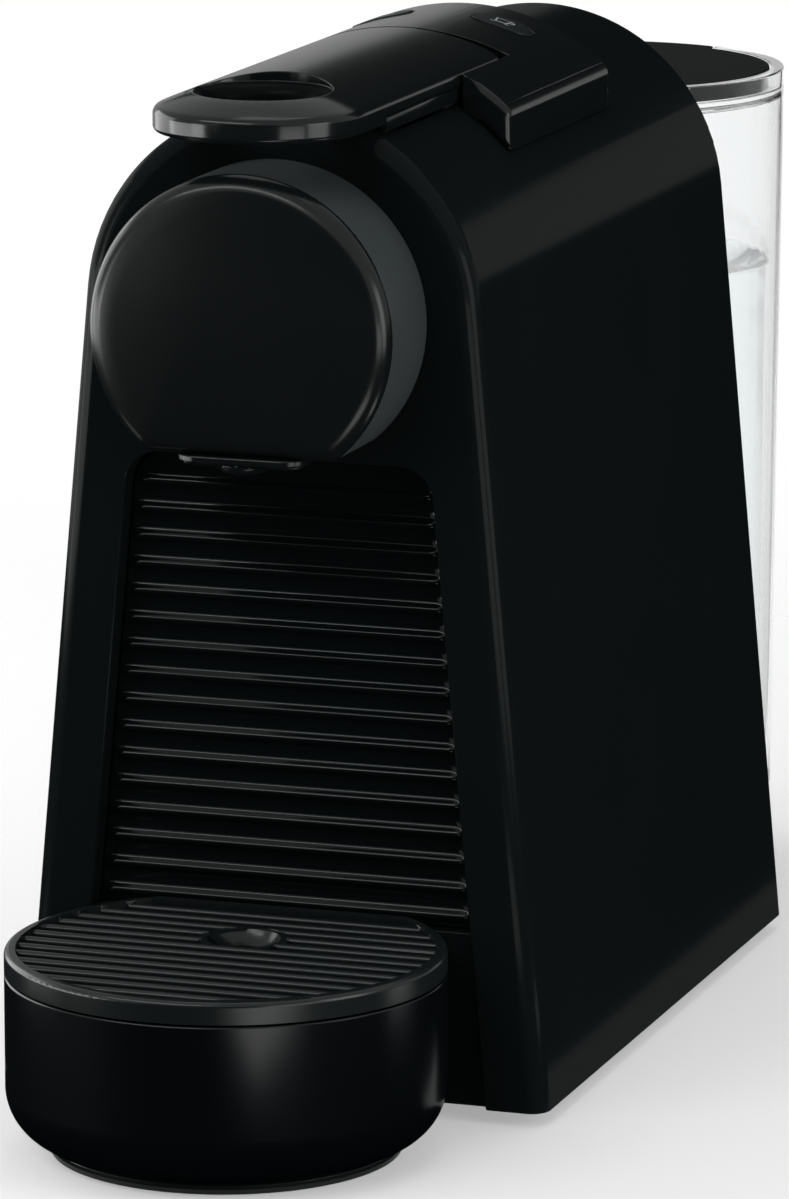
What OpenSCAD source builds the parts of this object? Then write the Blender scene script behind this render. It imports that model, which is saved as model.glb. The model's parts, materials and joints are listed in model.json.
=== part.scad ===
// Compact pod coffee machine, millimetres. +Z up, +X right, front towards -Y.
// Origin: centre of the footprint, on the surface that the machine stands on.

/* [Body] */
// Width of the shell at its lower edge
body_w = 110; // [104:1:120]
// Depth of the shell from front face to rear edge
body_d = 169.6; // [162:0.2:190]
// Height of the top of the arch
arch_top = 199; // [194:0.5:206]
// Radius of the arch
arch_r = 40.6; // [39.8:0.1:43]
// Height of the shell's lower edge above the worktop
shell_lift = 2.6; // [2:0.1:4]
// Wall of the shell
shell_t = 2.4; // [1.8:0.1:2.8]
// Wall of the shell at the front
front_t = 5; // [4.8:0.1:5.4]
// Rounding of the front edge
front_round = 4; // [1:0.5:4.5]
// Rounding of the rear edge
rear_round = 1.6; // [0.4:0.1:2]

/* [Front opening] */
// Width of the frame left on each side of the opening
flank_w = 12.2; // [11:0.2:14]
// Gap between the outlet head and the opening's top edge
opening_gap = 4.5; // [3.5:0.1:8]
// Radius of the opening's top corners
opening_round = 7; // [3:0.5:10]
// Depth of the ribbed panel behind the front face
panel_recess = 4.5; // [3:0.1:4.7]
// Thickness of the ribbed panel
panel_t = 2.6; // [1.8:0.1:3]
// Height of the seam between the ribbed panel and the plain lower front
seam_z = 38; // [34:0.5:42]
// Depth of the plain lower front behind the front face
lower_recess = 2.5; // [1.5:0.1:4]
// Distance from rib to rib
rib_pitch = 5.55; // [5:0.05:5.6]
// Radius of a rib
rib_r = 1; // [0.6:0.1:1.4]

/* [Outlet head] */
// Radius of the round outlet head
head_r = 30.6; // [29:0.1:32]
// Length of the head's collar
collar_d = 21; // [18:0.5:26]
// Thickness of the front cap
cap_t = 4.4; // [3.8:0.1:6]
// Rounding of the front cap
cap_round = 3.6; // [2:0.1:3.7]
// Distance from the head's centre down to its flat underside
head_flat = 23.9; // [23:0.1:25]
// Wall of the collar
collar_t = 2.4; // [1.8:0.1:3]
// Distance of the spout in front of the front face
spout_y = 19; // [13:0.5:19.5]
// Radius of the spout
spout_r = 5.2; // [4.6:0.1:6]
// Length of the spout below the head
spout_l = 3.5; // [3.2:0.1:8]

/* [Lever] */
// Width of the lever
lever_w = 42; // [41.6:0.1:43]
// Reach of the lever's tip in front of the front face
lever_tip = 29.3; // [28:0.1:36]
// Distance of the lever's rear end behind the front face
lever_end = 74.6; // [72.5:0.1:74.8]
// Rise of the lever and of the control panel above the top of the arch
crown_rise = 6.3; // [6:0.1:7.5]
// Thickness of the lever's top skin
lever_skin = 2.6; // [2:0.1:3]
// Drop from the crown to the lower edge of the lever's sides
side_drop = 8.2; // [7.4:0.1:8.5]
// Drop from the crown to the underside of the lever's nose
nose_drop = 9.5; // [8.4:0.1:11]
// Radius of the rim of the finger hole
finger_rim_r = 13.7; // [12:0.1:15]
// Radius of the finger hole
finger_r = 10.8; // [9:0.1:11.5]
// Distance of the lever's hinge behind the front face
hinge_y = 61; // [60:0.1:61.2]
// Drop from the crown to the lever's hinge
hinge_drop = 13.3; // [12.9:0.1:13.7]
// Radius of the hinge pin
pin_r = 2; // [1.6:0.1:2.4]
// Opening angle of the lever
lever_open = 85; // [70:1:86]

/* [Control panel] */
// Width of the control panel block
bridge_w = 63; // [58:0.5:66]
// Distance of the block's front behind the front face
bridge_front = 49; // [44:0.5:52]
// Distance of the block's rear behind the front face
bridge_back = 116; // [115:0.5:122]
// Thickness of the block's top skin
bridge_skin = 2.6; // [2:0.1:3]
// Length of a button across the machine
button_w = 12.8; // [11:0.1:14]
// Width of a button along the machine
button_d = 9.2; // [8:0.1:10.4]
// Distance of a button's centre from the middle
button_x = 12.9; // [11.6:0.1:13]
// Distance of a button's centre behind the front face
button_y = 101.5; // [100.5:0.1:103]
// Travel of a button
button_travel = 1; // [0.6:0.1:1.2]

/* [Brew unit] */
// Distance from the arch's centre down to the pod's axis
brew_drop = 8.4; // [7.4:0.1:8.9]
// Outer radius of the pod cage
cage_r = 19.5; // [19:0.1:19.8]
// Length of the pod cage
cage_l = 30; // [28:0.5:30.5]
// Radius of the pod's hollow at the mouth of the cage
pod_r = 16; // [15.5:0.1:16.4]
// Travel of the pod cage
cage_travel = 26; // [22:0.5:27]
// Thickness of the brew frame's side plates
frame_t = 3; // [2.4:0.1:3.4]
// Half the distance between the brew frame's side plates
frame_x = 25; // [24.8:0.1:26]
// Radius of the cam followers on the pod cage
follower_r = 2; // [1.6:0.1:2.2]
// Height of the cam followers above the pod's axis
follower_rise = 22; // [21.5:0.1:22.5]

/* [Drip tray] */
// Radius of the drip tray
tray_r = 42.85; // [41:0.05:45]
// Distance of the tray's centre in front of the front face
tray_off = 30.8; // [29:0.1:34]
// Height of the top of the cup grid
tray_top = 40; // [38:0.5:44]
// Height of the cup grid's rim
rim_h = 4.8; // [4:0.1:6]
// Width of the cup grid's rim
rim_w = 2.2; // [1.8:0.1:3]
// Wall of the drip bowl
bowl_t = 2.2; // [1.8:0.1:2.8]
// Radius of the bowl's lower edge
bowl_round = 11; // [8:0.5:13]
// Radius of the foot under the bowl
foot_r = 34.2; // [31:0.1:36]
// Distance from bar to bar
bar_pitch = 5.2; // [5:0.05:5.6]
// Number of bars
bar_count = 13; // [9:1:13]
// Width of a bar
bar_w = 1.9; // [1.4:0.1:2.4]
// Radius of the hole for small cups' drips
drip_hole_r = 8.3; // [7:0.1:9]

/* [Water tank] */
// Outer radius of the tank at its rim
tank_r = 40.5; // [38:0.1:41]
// Narrowing of the tank's radius from rim to floor
tank_draft = 1.4; // [0:0.1:2]
// Gap between the tank and the shell's rear edge
tank_gap = 0.75; // [0.6:0.05:3]
// Height of the tank's rim
tank_top = 180.3; // [170:0.1:184]
// Wall of the tank
tank_t = 2.2; // [1.8:0.1:2.6]
// Width of the tank's rim
tank_rim = 2.8; // [2.6:0.1:3.4]
// Height of the stand under the tank
stand_top = 16; // [15:0.5:20]
// Depth of the lid's plug
plug_h = 3.8; // [3:0.1:6]
// Half width of the lid's thumb tab
tab_x = 15.2; // [10:0.1:18]
// Lift of the valve in the tank's floor
valve_lift = 3; // [2:0.1:3.4]

/* [Clearances] */
// Gap between pieces that slide or lift off
slide_gap = 0.4; // [0.3:0.05:0.5]
// Gap between fixed pieces
fit_gap = 0.2; // [0.1:0.05:0.3]
// Gap around the hinge pin and the water tube
run_gap = 0.05; // [0.02:0.01:0.08]

/* [Hidden] */
$fn = 96;

// Places along the machine
tray_reach = tray_off + tray_r;
tank_off = tank_gap + tank_r;
tank_reach = tank_off + tank_r;
front_y = tray_reach - (tray_reach + body_d + tank_reach) / 2;
rear_y = front_y + body_d;
tray_y = front_y - tray_off;
tank_y = rear_y + tank_off;

// The arch and the tapered sides
arch_z = arch_top - arch_r;
side_h = arch_z - shell_lift;
taper = atan2(body_w / 2, side_h) - asin(arch_r / norm([body_w / 2, side_h]));
crown_top = arch_top + crown_rise;
crown_r = crown_top - arch_z;
side_z = crown_top - side_drop;
nose_z = crown_top - nose_drop;
hinge_z = crown_top - hinge_drop;
head_low = arch_z - head_flat;
opening_top = head_low - opening_gap;
brew_z = arch_z - brew_drop;
follower_z = brew_z + follower_rise;
duct_z = head_low + 7.5;
duct_r = 4;
lever_y = front_y + hinge_y;
lever_half = lever_w / 2;
nose_y = front_y - lever_tip + lever_half;
sweep_r = norm([lever_end - hinge_y, crown_top - hinge_z]) + 0.6;
slot_x = lever_half + 0.6;
slot_front = bridge_front + 5;
slot_back = bridge_back - 4;
pod_slot_x = lever_half - 1.2;
pod_slot_y = [14, slot_front + 1];
lever_side_t = 1.8;
cam_out = lever_half - lever_side_t;
cam_t = 2.8;
cam_in = cam_out - cam_t;

// The base and the sliding module
base_t = 3;
base_top = shell_lift + base_t;
module_floor = base_top + slide_gap;
pan_x = 36;
pan_end = body_d - 81.6;
pan_t = 2;
pan_top = seam_z - 0.4;
bin_x = 29;
bin_end = pan_end - 14;
bin_t = 1.8;
bin_top = opening_top - 9;
bin_floor = pan_top;
rear_t = 3;

// The brew unit
cage_front = 12;
plate_t = 4.5;
follower_y = cage_front + cage_l - 5;
carriage_t = 4;
bar_in = cage_r + 1;
bar_out = frame_x - slide_gap;
bar_h = 12;
guide_h = 2;
frame_end = 120;
frame_low = opening_top + 1;
frame_high = brew_z + 26;
spine_z = cage_r + brew_z + 2;
spine_t = 5.5;
ear_x = cam_in - slide_gap;
ear_t = 2.8;
ear_back = 3.4;
heater_y = [77.5, 118];
tube_r = 2.5;
tube_end = 86;

// The tank's floor and dock
tank_floor = stand_top + slide_gap;
floor_t = 2.4;
dock_y = tank_y - 20;
dock_r = 9;
dock_depth = 8;
seat_r = 6;
lid_r = tank_r - tank_rim - slide_gap;

function half_w(z, inset) = (arch_r - inset + (arch_z - z) * sin(taper)) / cos(taper);

// Outline of the arch between two heights, drawn in the X-Z plane
module arch_outline(inset, low) {
    union() {
        translate([0, arch_z]) circle(arch_r - inset);
        polygon([[-half_w(low, inset), low], [half_w(low, inset), low],
            [(arch_r - inset) * cos(taper), arch_z + (arch_r - inset) * sin(taper)],
            [-(arch_r - inset) * cos(taper), arch_z + (arch_r - inset) * sin(taper)]]);
    }
}

// Extrudes an X-Z outline backwards from y0 to y1
module along_y(y0, y1) {
    translate([0, y1, 0]) rotate([90, 0, 0]) linear_extrude(y1 - y0) children();
}

// A cylinder along Y from y0 to y1
module rod_y(r, y0, y1, x = 0, z = 0) {
    translate([x, y0, z]) rotate([-90, 0, 0]) cylinder(r = r, h = y1 - y0);
}

// A cylinder along X from x0 to x1
module rod_x(r, x0, x1, y, z) {
    translate([x0, y, z]) rotate([0, 90, 0]) cylinder(r = r, h = x1 - x0);
}

// A box from its low corner to its high corner
module box(low, high) {
    translate(low) cube(high - low);
}

// The same piece on both sides
module both_sides() {
    children();
    mirror([1, 0, 0]) children();
}

// Section of the shell's rim: radial distance across, depth along
module edge_section() {
    translate([0, front_round]) square([arch_r, body_d - front_round - rear_round]);
    square([arch_r - front_round, front_round + 1]);
    translate([arch_r - front_round, front_round]) circle(front_round);
    translate([0, body_d - rear_round - 1]) square([arch_r - rear_round, rear_round + 1]);
    translate([arch_r - rear_round, body_d - rear_round]) circle(rear_round);
}

// The outer solid of the shell, with its rounded front and rear edges
module shell_solid() {
    side_l = side_h / cos(taper) + arch_r;
    difference() {
        union() {
            both_sides() translate([0, front_y, arch_z]) rotate([-90, 0, 0]) rotate([0, 0, taper - 180])
                rotate_extrude(angle = 92 - taper) edge_section();
            both_sides() translate([0, front_y, arch_z]) rotate([0, -taper, 0])
                translate([0, 0, -side_l]) linear_extrude(side_l) edge_section();
            along_y(front_y + 1, rear_y - 1) polygon([[0, arch_z], [-half_w(0, arch_r / 2), 0], [half_w(0, arch_r / 2), 0]]);
        }
        translate([-body_w, front_y - 10, -body_w]) cube([2 * body_w, body_d + 20, body_w + shell_lift]);
    }
}

// Points of a small arc
function arc(x, z, r, a0, a1) = [for (i = [0 : 8]) [x + r * cos(a0 + (a1 - a0) * i / 8), z + r * sin(a0 + (a1 - a0) * i / 8)]];
function mirrored(points) = [for (i = [len(points) - 1 : -1 : 0]) [-points[i][0], points[i][1]]];

// Outline of the front opening, drawn in the X-Z plane
module opening_outline(gap = 0, low = 0, high = opening_top) {
    corner = opening_round - gap;
    inset = flank_w + gap;
    top = high - gap;
    x = half_w(top - corner, inset) - corner / cos(taper);
    right = concat([[half_w(low, inset), low]], arc(x, top - corner, corner, taper, 90));
    polygon(concat(right, mirrored(right)));
}

module body_shell() {
    color("#15191a") difference() {
        shell_solid();
        along_y(front_y + front_t, rear_y + 1) arch_outline(shell_t, 0);
        along_y(front_y - 1, front_y + front_t + 1) opening_outline();
        box([-pod_slot_x, front_y + pod_slot_y[0], arch_z], [pod_slot_x, front_y + pod_slot_y[1], arch_top + 1]);
        box([-slot_x, front_y + slot_front, arch_z], [slot_x, front_y + slot_back, arch_top + 1]);
        rod_y(duct_r + fit_gap, front_y - 1, front_y + front_t + 1, 0, duct_z);
    }
}

module rear_cover() {
    vent_count = 7;
    color("#1a1e20") difference() {
        along_y(rear_y - rear_t, rear_y) arch_outline(shell_t + fit_gap, base_top);
        for (i = [0 : vent_count - 1])
            box([-18, rear_y - rear_t - 1, 110 + i * 7], [18, rear_y + 1, 112.5 + i * 7]);
        for (p = cover_screws) rod_y(1.7, rear_y - rear_t - 1, rear_y + 1, p[0], p[1]);
        for (p = cover_screws) rod_y(3.2, rear_y - 1.6, rear_y + 1, p[0], p[1]);
        rod_y(gland_r - 1.5, rear_y - rear_t - 1, rear_y + 1, gland_x, gland_z);
        rod_y(hose_r + 0.5, rear_y - rear_t - 1, rear_y + 1, 0, hose_z);
    }
}
cover_screws = [[-22, arch_z + 25.6], [22, arch_z + 25.6], [-42, 30], [42, 30]];
gland_r = 5.5;
gland_z = 16;
gland_x = -half_w(gland_z, shell_t + 11.3);

module base_plate() {
    color("#1a1e20") difference() {
        union() {
            intersection() {
                along_y(front_y + front_t + 3, rear_y - 0.05) arch_outline(shell_t + fit_gap, shell_lift);
                box([-body_w, front_y, shell_lift], [body_w, rear_y, base_top]);
            }
            // Rails beside the sliding module
            both_sides() box([pan_x + slide_gap, front_y + 10, base_top - 0.1],
                [pan_x + 3, front_y + pan_end + 4, base_top + 12]);
        }
        for (p = feet) translate([p[0], p[1], shell_lift - 1]) cylinder(r = 1.5, h = 3);
    }
}
feet_x = body_w / 2 - 11;
feet = [[-feet_x, front_y + 16], [feet_x, front_y + 16], [-feet_x, rear_y - 14], [feet_x, rear_y - 14]];
stand_feet = [[-20, tank_y + 20], [20, tank_y + 20]];

module foot_pads() {
    color("#2b2d2e") {
        for (p = feet) translate([p[0], p[1], 0]) {
            cylinder(r = 6, h = shell_lift);
            cylinder(r = 1.4, h = shell_lift + 1.8);
        }
        for (p = stand_feet) translate([p[0], p[1], 0]) cylinder(r = 6, h = shell_lift);
    }
}

module crown_solid(r, y0, y1) {
    rod_y(r, y0, y1, 0, arch_z);
}

module stadium(w, d) {
    square([w - d, d], center = true);
    for (side = [-1, 1]) translate([side * (w - d) / 2, 0]) circle(d / 2);
}

module bridge_cover() {
    y0 = front_y + bridge_front;
    y1 = front_y + bridge_back;
    wall = 3;
    low = arch_z + sqrt(arch_r * arch_r - pow(bridge_w / 2, 2)) - 4;
    color("#16191b") difference() {
        union() {
            difference() {
                intersection() {
                    crown_solid(crown_r, y0, y1);
                    box([-bridge_w / 2, y0, low], [bridge_w / 2, y1, crown_top + 1]);
                }
                crown_solid(arch_r + 0.02, y0 - 1, y1 + 1);
                intersection() {
                    crown_solid(crown_r - bridge_skin, y0 + wall, y1 - wall);
                    box([-bridge_w / 2 + wall, y0, low], [bridge_w / 2 - wall, y1, crown_top]);
                }
            }
            // Posts that hold the switch board
            for (y = board_posts) intersection() {
                translate([0, front_y + y, board_z]) cylinder(r = 2.2, h = crown_top - board_z);
                crown_solid(crown_r - bridge_skin + 0.1, y0, y1);
            }
        }
        // Slot for the lever, and the space that its rear end turns through
        box([-lever_half - 0.5, y0 - 1, low - 1], [lever_half + 0.5, front_y + lever_end + 0.6, crown_top + 1]);
        rod_x(sweep_r, -lever_half - 0.5, lever_half + 0.5, lever_y, hinge_z);
        for (side = [-1, 1]) translate([side * button_x, front_y + button_y, board_z])
            linear_extrude(30) stadium(button_w + 2 * button_gap, button_d + 2 * button_gap);
    }
}
button_gap = 0.25;
board_t = 1.6;
board_z = crown_top - 15.3;
board_posts = [88, 109];

module switch_board() {
    color("#1d5a35") {
        box([-20, front_y + 86, board_z - board_t], [20, front_y + 111, board_z]);
        for (side = [-1, 1]) translate([side * button_x, front_y + button_y, board_z])
            cylinder(r = 3, h = switch_h);
    }
}
switch_h = 2.6;

module cup_button(side) {
    color("#202426") {
        intersection() {
            translate([side * button_x, front_y + button_y, board_z + switch_h + button_travel + 0.2])
                linear_extrude(30) stadium(button_w, button_d);
            crown_solid(crown_r + 0.25, front_y + button_y - 9, front_y + button_y + 9);
        }
        // Flange that keeps the button in its opening
        intersection() {
            translate([side * button_x, front_y + button_y, board_z + switch_h + button_travel + 0.2])
                linear_extrude(30) stadium(button_w + 2, button_d + 2);
            difference() {
                crown_solid(crown_r - bridge_skin - 0.25, front_y + button_y - 9, front_y + button_y + 9);
                crown_solid(crown_r - bridge_skin - 1.25, front_y + button_y - 10, front_y + button_y + 10);
            }
        }
    }
}
module small_cup_button() { cup_button(-1); }
module large_cup_button() { cup_button(1); }

module brew_frame() {
    plate_y = [front_y + front_t, front_y + frame_end];
    color("#3a3f42") difference() {
        union() {
            both_sides() {
                box([frame_x, plate_y[0], frame_low], [frame_x + frame_t, plate_y[1], frame_high]);
                // Legs down to the base behind the module
                box([frame_x, front_y + frame_end - 26, base_top], [frame_x + frame_t, plate_y[1], frame_low + 1]);
                // Guides above and below the carriage's bars
                for (z = [brew_z + bar_h / 2 + slide_gap, brew_z - bar_h / 2 - slide_gap - guide_h])
                    box([frame_x - 2.4, front_y + 10, z], [frame_x + 0.1, front_y + heater_y[0] - 1, z + guide_h]);
                // Ears that carry the hinge pin
                box([ear_x - ear_t, lever_y - 4.5, spine_z], [ear_x, lever_y + ear_back, hinge_z + 4]);
            }
            // Spine over the cage, and the cross-bar that joins it to the side plates
            box([-ear_x, lever_y - 4.5, spine_z], [ear_x, front_y + 85, spine_z + spine_t]);
            box([-frame_x - 0.1, front_y + 84, spine_z - 1], [frame_x + 0.1, front_y + 94, spine_z + 4]);
            // Front wall that holds the extraction plate
            box([-frame_x - 0.1, plate_y[0], frame_low], [frame_x + 0.1, plate_y[0] + wall_t, frame_high]);
        }
        rod_x(pin_r, -ear_x - 1, ear_x + 1, lever_y, hinge_z);
        rod_y(duct_r + fit_gap, plate_y[0] - 1, plate_y[0] + wall_t + 1, 0, duct_z);
    }
}
wall_t = cage_front - plate_t - front_t;

module hinge_pin() {
    color("silver") rod_x(pin_r, -cam_out + 0.3, cam_out - 0.3, lever_y, hinge_z);
}

// Plan of the lever: straight sides and a round nose
module lever_plan(inset = 0) {
    translate([0, nose_y]) circle(lever_half - inset);
    translate([-lever_half + inset, nose_y])
        square([lever_w - 2 * inset, front_y + lever_end - inset - nose_y]);
}

// Crowned upper surface: a cylinder over the arch, ending in a sphere over the nose
module crowned(r, y1) {
    crown_solid(r, nose_y, y1);
    translate([0, nose_y, arch_z]) sphere(r = r, $fn = 120);
}

module lever_handle() {
    end_y = front_y + lever_end;
    rim_z = arch_z + sqrt(pow(crown_r, 2) - pow(finger_rim_r, 2));
    lip = finger_rim_r - finger_r;
    color("#191d1f") difference() {
        intersection() {
            translate([0, 0, nose_z]) linear_extrude(20) lever_plan();
            crowned(crown_r, end_y + 1);
        }
        // Sides are shallower than the nose
        box([-lever_w, nose_y + lever_half - 8, nose_z - 1], [lever_w, end_y + 1, side_z]);
        // Hollow underside behind the nose
        intersection() {
            translate([-cam_out, front_y + 6, nose_z - 1]) cube([2 * cam_out, lever_end - 6 - lever_side_t, 20]);
            crown_solid(crown_r - lever_skin, nose_y, end_y + 1);
        }
        // Room over the front edge of the arch
        rod_y(arch_r + 0.9, front_y - 1, end_y + 2, 0, arch_z);
        // Finger hole with a flared rim
        translate([0, nose_y, nose_z - 1]) cylinder(r = finger_r, h = 20);
        translate([0, nose_y, rim_z]) rotate_extrude() difference() {
            translate([0, -lip]) square([finger_rim_r, 3 * lip]);
            translate([finger_rim_r, -lip]) circle(lip);
        }
    }
}

// Place of the cam follower, seen from the lever, when the lever has turned by a
function cam_point(a) = let(
    dy = follower_y + cage_travel * a / lever_open - hinge_y,
    dz = follower_z - hinge_z
) [dy * cos(a) - dz * sin(a), dy * sin(a) + dz * cos(a)];
function cam_normal(a) = let(d = cam_point(a + 0.5) - cam_point(a - 0.5)) [d[1], -d[0]] / norm(d);
cam_steps = 14;
cam_angles = [for (i = [0 : cam_steps]) i * lever_open / cam_steps];
cam_clear = follower_r + 0.25;

function cam_cap(a, w, turn) = let(n = cam_normal(a), t0 = atan2(n[1], n[0]))
    [for (i = [1 : 11]) cam_point(a) + w * [cos(t0 + turn + i * 15), sin(t0 + turn + i * 15)]];

// Track of the follower in the cam, as wide as given
module cam_track(w) {
    polygon(concat([for (a = cam_angles) cam_point(a) + cam_normal(a) * w], cam_cap(lever_open, w, 0),
        [for (i = [cam_steps : -1 : 0]) cam_point(cam_angles[i]) - cam_normal(cam_angles[i]) * w],
        cam_cap(0, w, 180)));
}

module cam_outline() {
    cam_edge = follower_r + 2.6;
    polygon(concat([[0, 0]], [for (a = cam_angles) cam_point(a) + cam_normal(a) * cam_edge]));
    cam_track(cam_edge);
    circle(7);
    translate([-16, -3]) square([22, side_z - hinge_z + 3 + 0.5]);
}

module lever_cams() {
    color("#4a5054") {
        both_sides() translate([cam_in, lever_y, hinge_z]) rotate([90, 0, 90])
            linear_extrude(cam_t) difference() {
                cam_outline();
                cam_track(cam_clear);
                circle(pin_r + run_gap);
            }
        // Tie bar between the two cams, in front of the hinge
        rod_x(2, -cam_in - 0.1, cam_in + 0.1, lever_y - 12, hinge_z + 2.5);
    }
}

module pod_cage() {
    y0 = front_y + cage_front + 0.4;
    color("#b9bcbd") difference() {
        rod_y(cage_r, y0, y0 + cage_l - 0.4, 0, brew_z);
        translate([0, y0 - 0.5, brew_z]) rotate([-90, 0, 0]) cylinder(r1 = pod_r, r2 = pod_r - 4, h = cage_l - 4);
        rod_y(pod_r - 3.9, y0 + cage_l - 5, y0 + cage_l - 2, 0, brew_z);
        rod_y(tube_r, y0 + cage_l - 4, y0 + cage_l, 0, brew_z);
    }
}

module piercing_needles() {
    y1 = front_y + cage_front + cage_l - 2;
    color("silver") for (a = [90, 210, 330])
        translate([7 * cos(a), y1 - 8, brew_z + 7 * sin(a)]) rotate([-90, 0, 0]) cylinder(r1 = 0.3, r2 = 1.2, h = 8);
}

module cage_carriage() {
    y1 = front_y + cage_front + cage_l;
    color("#5a6064") difference() {
        union() {
            rod_y(cage_r, y1, y1 + carriage_t, 0, brew_z);
            both_sides() {
                box([bar_in, front_y + cage_front + 6, brew_z - bar_h / 2],
                    [bar_out, y1 + carriage_t + 4, brew_z + bar_h / 2]);
                box([cage_r - 6, y1, brew_z - bar_h / 2], [bar_out, y1 + carriage_t, brew_z + bar_h / 2]);
                // Tabs that carry the cam followers
                box([cam_out + 0.9, front_y + follower_y - 4, brew_z - bar_h / 2 + 1],
                    [frame_x - 2.8, front_y + follower_y + 4, follower_z + 4]);
                rod_x(follower_r, cam_in + 0.2, cam_out + 2, front_y + follower_y, follower_z);
            }
        }
        rod_y(tube_r, y1 - 1, y1 + carriage_t + 1, 0, brew_z);
    }
}

module water_tube() {
    y1 = front_y + cage_front + cage_l;
    color("silver") difference() {
        rod_y(tube_r, y1 - 1.5, front_y + tube_end, 0, brew_z);
        rod_y(tube_r - 0.8, y1 - 2, front_y + tube_end + 1, 0, brew_z);
    }
}

module extraction_plate() {
    y0 = front_y + cage_front - plate_t;
    color("#c3c5c6") difference() {
        union() {
            rod_y(cage_r - 1, y0, y0 + plate_t - 0.4, 0, brew_z);
            for (i = [-3 : 3]) for (j = [-3 : 3]) if (i * i + j * j < 11)
                rod_y(0.7, y0 + plate_t - 0.5, y0 + plate_t, i * 3.4, brew_z + j * 3.4);
        }
        rod_y(3, y0 - 1, y0 + plate_t - 2, 0, duct_z);
    }
}
module outlet_duct() {
    y0 = front_y - spout_y;
    y1 = front_y + cage_front - plate_t;
    color("#33383b") difference() {
        union() {
            rod_y(duct_r, y0, y1, 0, duct_z);
            translate([0, y0, duct_z]) sphere(r = duct_r);
            translate([0, y0, head_low + collar_t]) cylinder(r = duct_r, h = duct_z - head_low - collar_t);
        }
        rod_y(duct_r - 1.4, y0, y1 + 1, 0, duct_z);
        translate([0, y0, head_low]) cylinder(r = duct_r - 1.4, h = duct_z - head_low);
    }
}

// Outline of the head in the X-Z plane: a disc with a flat underside and round ends
module head_outline(inset) {
    r = head_r - inset;
    flat = head_flat - inset;
    end_r = 4;
    x = sqrt(pow(r - end_r, 2) - pow(flat - end_r, 2));
    lean = atan2(end_r - flat, x);
    corner = arc(x, end_r - flat, end_r, -90, lean);
    top = corner[8];
    right = concat(corner, [[top[0] * 0.8, top[1] + 3]]);
    translate([0, arch_z]) union() {
        difference() {
            circle(r);
            translate([-2 * r, top[1] - 2 * r]) square([4 * r, 2 * r]);
        }
        polygon(concat(right, mirrored(right)));
    }
}

module outlet_collar() {
    y0 = front_y - collar_d;
    color("#191c1e") difference() {
        along_y(y0, front_y) head_outline(0);
        along_y(y0 - 1, front_y - collar_t) head_outline(collar_t);
        rod_y(duct_r + fit_gap, front_y - collar_t - 1, front_y + 1, 0, duct_z);
        translate([0, front_y - spout_y, head_low - 3]) cylinder(r = duct_r - 1.4, h = 9);
    }
}

module outlet_cap() {
    y0 = front_y - collar_d - 0.3 - cap_t;
    skin = 2.2;
    color("#1b1f21") difference() {
        union() {
            intersection() {
                translate([0, y0, arch_z]) rotate([-90, 0, 0]) rotate_extrude() {
                    square([head_r - cap_round, cap_t]);
                    translate([0, cap_round]) square([head_r, cap_t - cap_round]);
                    translate([head_r - cap_round, cap_round]) circle(cap_round);
                }
                along_y(y0, y0 + cap_t) head_outline(0);
            }
            // Spigot that snaps into the collar
            along_y(y0 + cap_t - 0.1, y0 + cap_t + 5) head_outline(collar_t + fit_gap);
        }
        along_y(y0 + skin, y0 + cap_t + 6) head_outline(collar_t + fit_gap + 1.6);
        // Notch around the duct
        box([-duct_r - slide_gap, y0 + skin, head_low - 1], [duct_r + slide_gap, y0 + cap_t + 6, duct_z]);
    }
}

module spout_nozzle() {
    low = head_low - spout_l;
    rose_t = 2;
    tip_r = spout_r - 1.2;
    color("#1b1f21") translate([0, front_y - spout_y, 0]) difference() {
        union() {
            translate([0, 0, low]) cylinder(r1 = tip_r, r2 = spout_r, h = 1);
            translate([0, 0, low + 1]) cylinder(r = spout_r, h = spout_l - 1);
            // Rose that closes the underside of the head
            translate([0, 0, head_low - rose_t + 0.6]) linear_extrude(rose_t - 0.6) stadium(2 * rose_x, rose_w);
            translate([0, 0, head_low - rose_t]) linear_extrude(1) stadium(2 * rose_x - 2, rose_w - 2);
        }
        translate([0, 0, low - 1]) cylinder(r = duct_r - 1.4, h = spout_l + 3);
    }
}
rose_x = 13.2;
rose_w = 10.4;

module thermoblock() {
    y = [front_y + heater_y[0], front_y + heater_y[1]];
    color("#a4a8aa") difference() {
        union() {
            box([-frame_x, y[0], brew_z - 14], [frame_x, y[1], brew_z + 14]);
            for (i = [0 : 4]) box([-20, y[0] + 2 + i * 8.6, brew_z + 13.9], [20, y[0] + 6 + i * 8.6, brew_z + 18]);
            translate([12, y[1] - 8, brew_z - 18]) cylinder(r = 4, h = 5);
        }
        rod_y(tube_r + run_gap, y[0] - 1, y[1] - 4, 0, brew_z);
        translate([12, y[1] - 8, brew_z - 19]) cylinder(r = 1.6, h = 14);
    }
}

module thermostats() {
    color("#8c8f90") for (y = [86, 102]) translate([0, front_y + y, brew_z - 18]) {
        cylinder(r = 6, h = 4);
        translate([0, 0, -2]) cylinder(r = 4, h = 2.1);
    }
}

pump_z = 36;
pump_r = 9;
coil_half = 19;
coil_l = 32;
coil_y = rear_y - 55.6;
module pump_coil() {
    color("#8f2f2a") difference() {
        box([-coil_half, coil_y, pump_z - coil_half], [coil_half, coil_y + coil_l, pump_z + coil_half]);
        rod_y(pump_r + fit_gap, coil_y - 1, coil_y + coil_l + 1, 0, pump_z);
    }
}

port_r = 4;
module pump_barrel() {
    color("#c9b98a") union() {
        rod_y(pump_r, coil_y - 12, coil_y + coil_l + 10, 0, pump_z);
        rod_y(port_r, coil_y - 16, coil_y + coil_l + 16, 0, pump_z);
        // Collar that the coil sits against
        rod_y(pump_r + 3, coil_y - 3, coil_y, 0, pump_z);
    }
}

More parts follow.
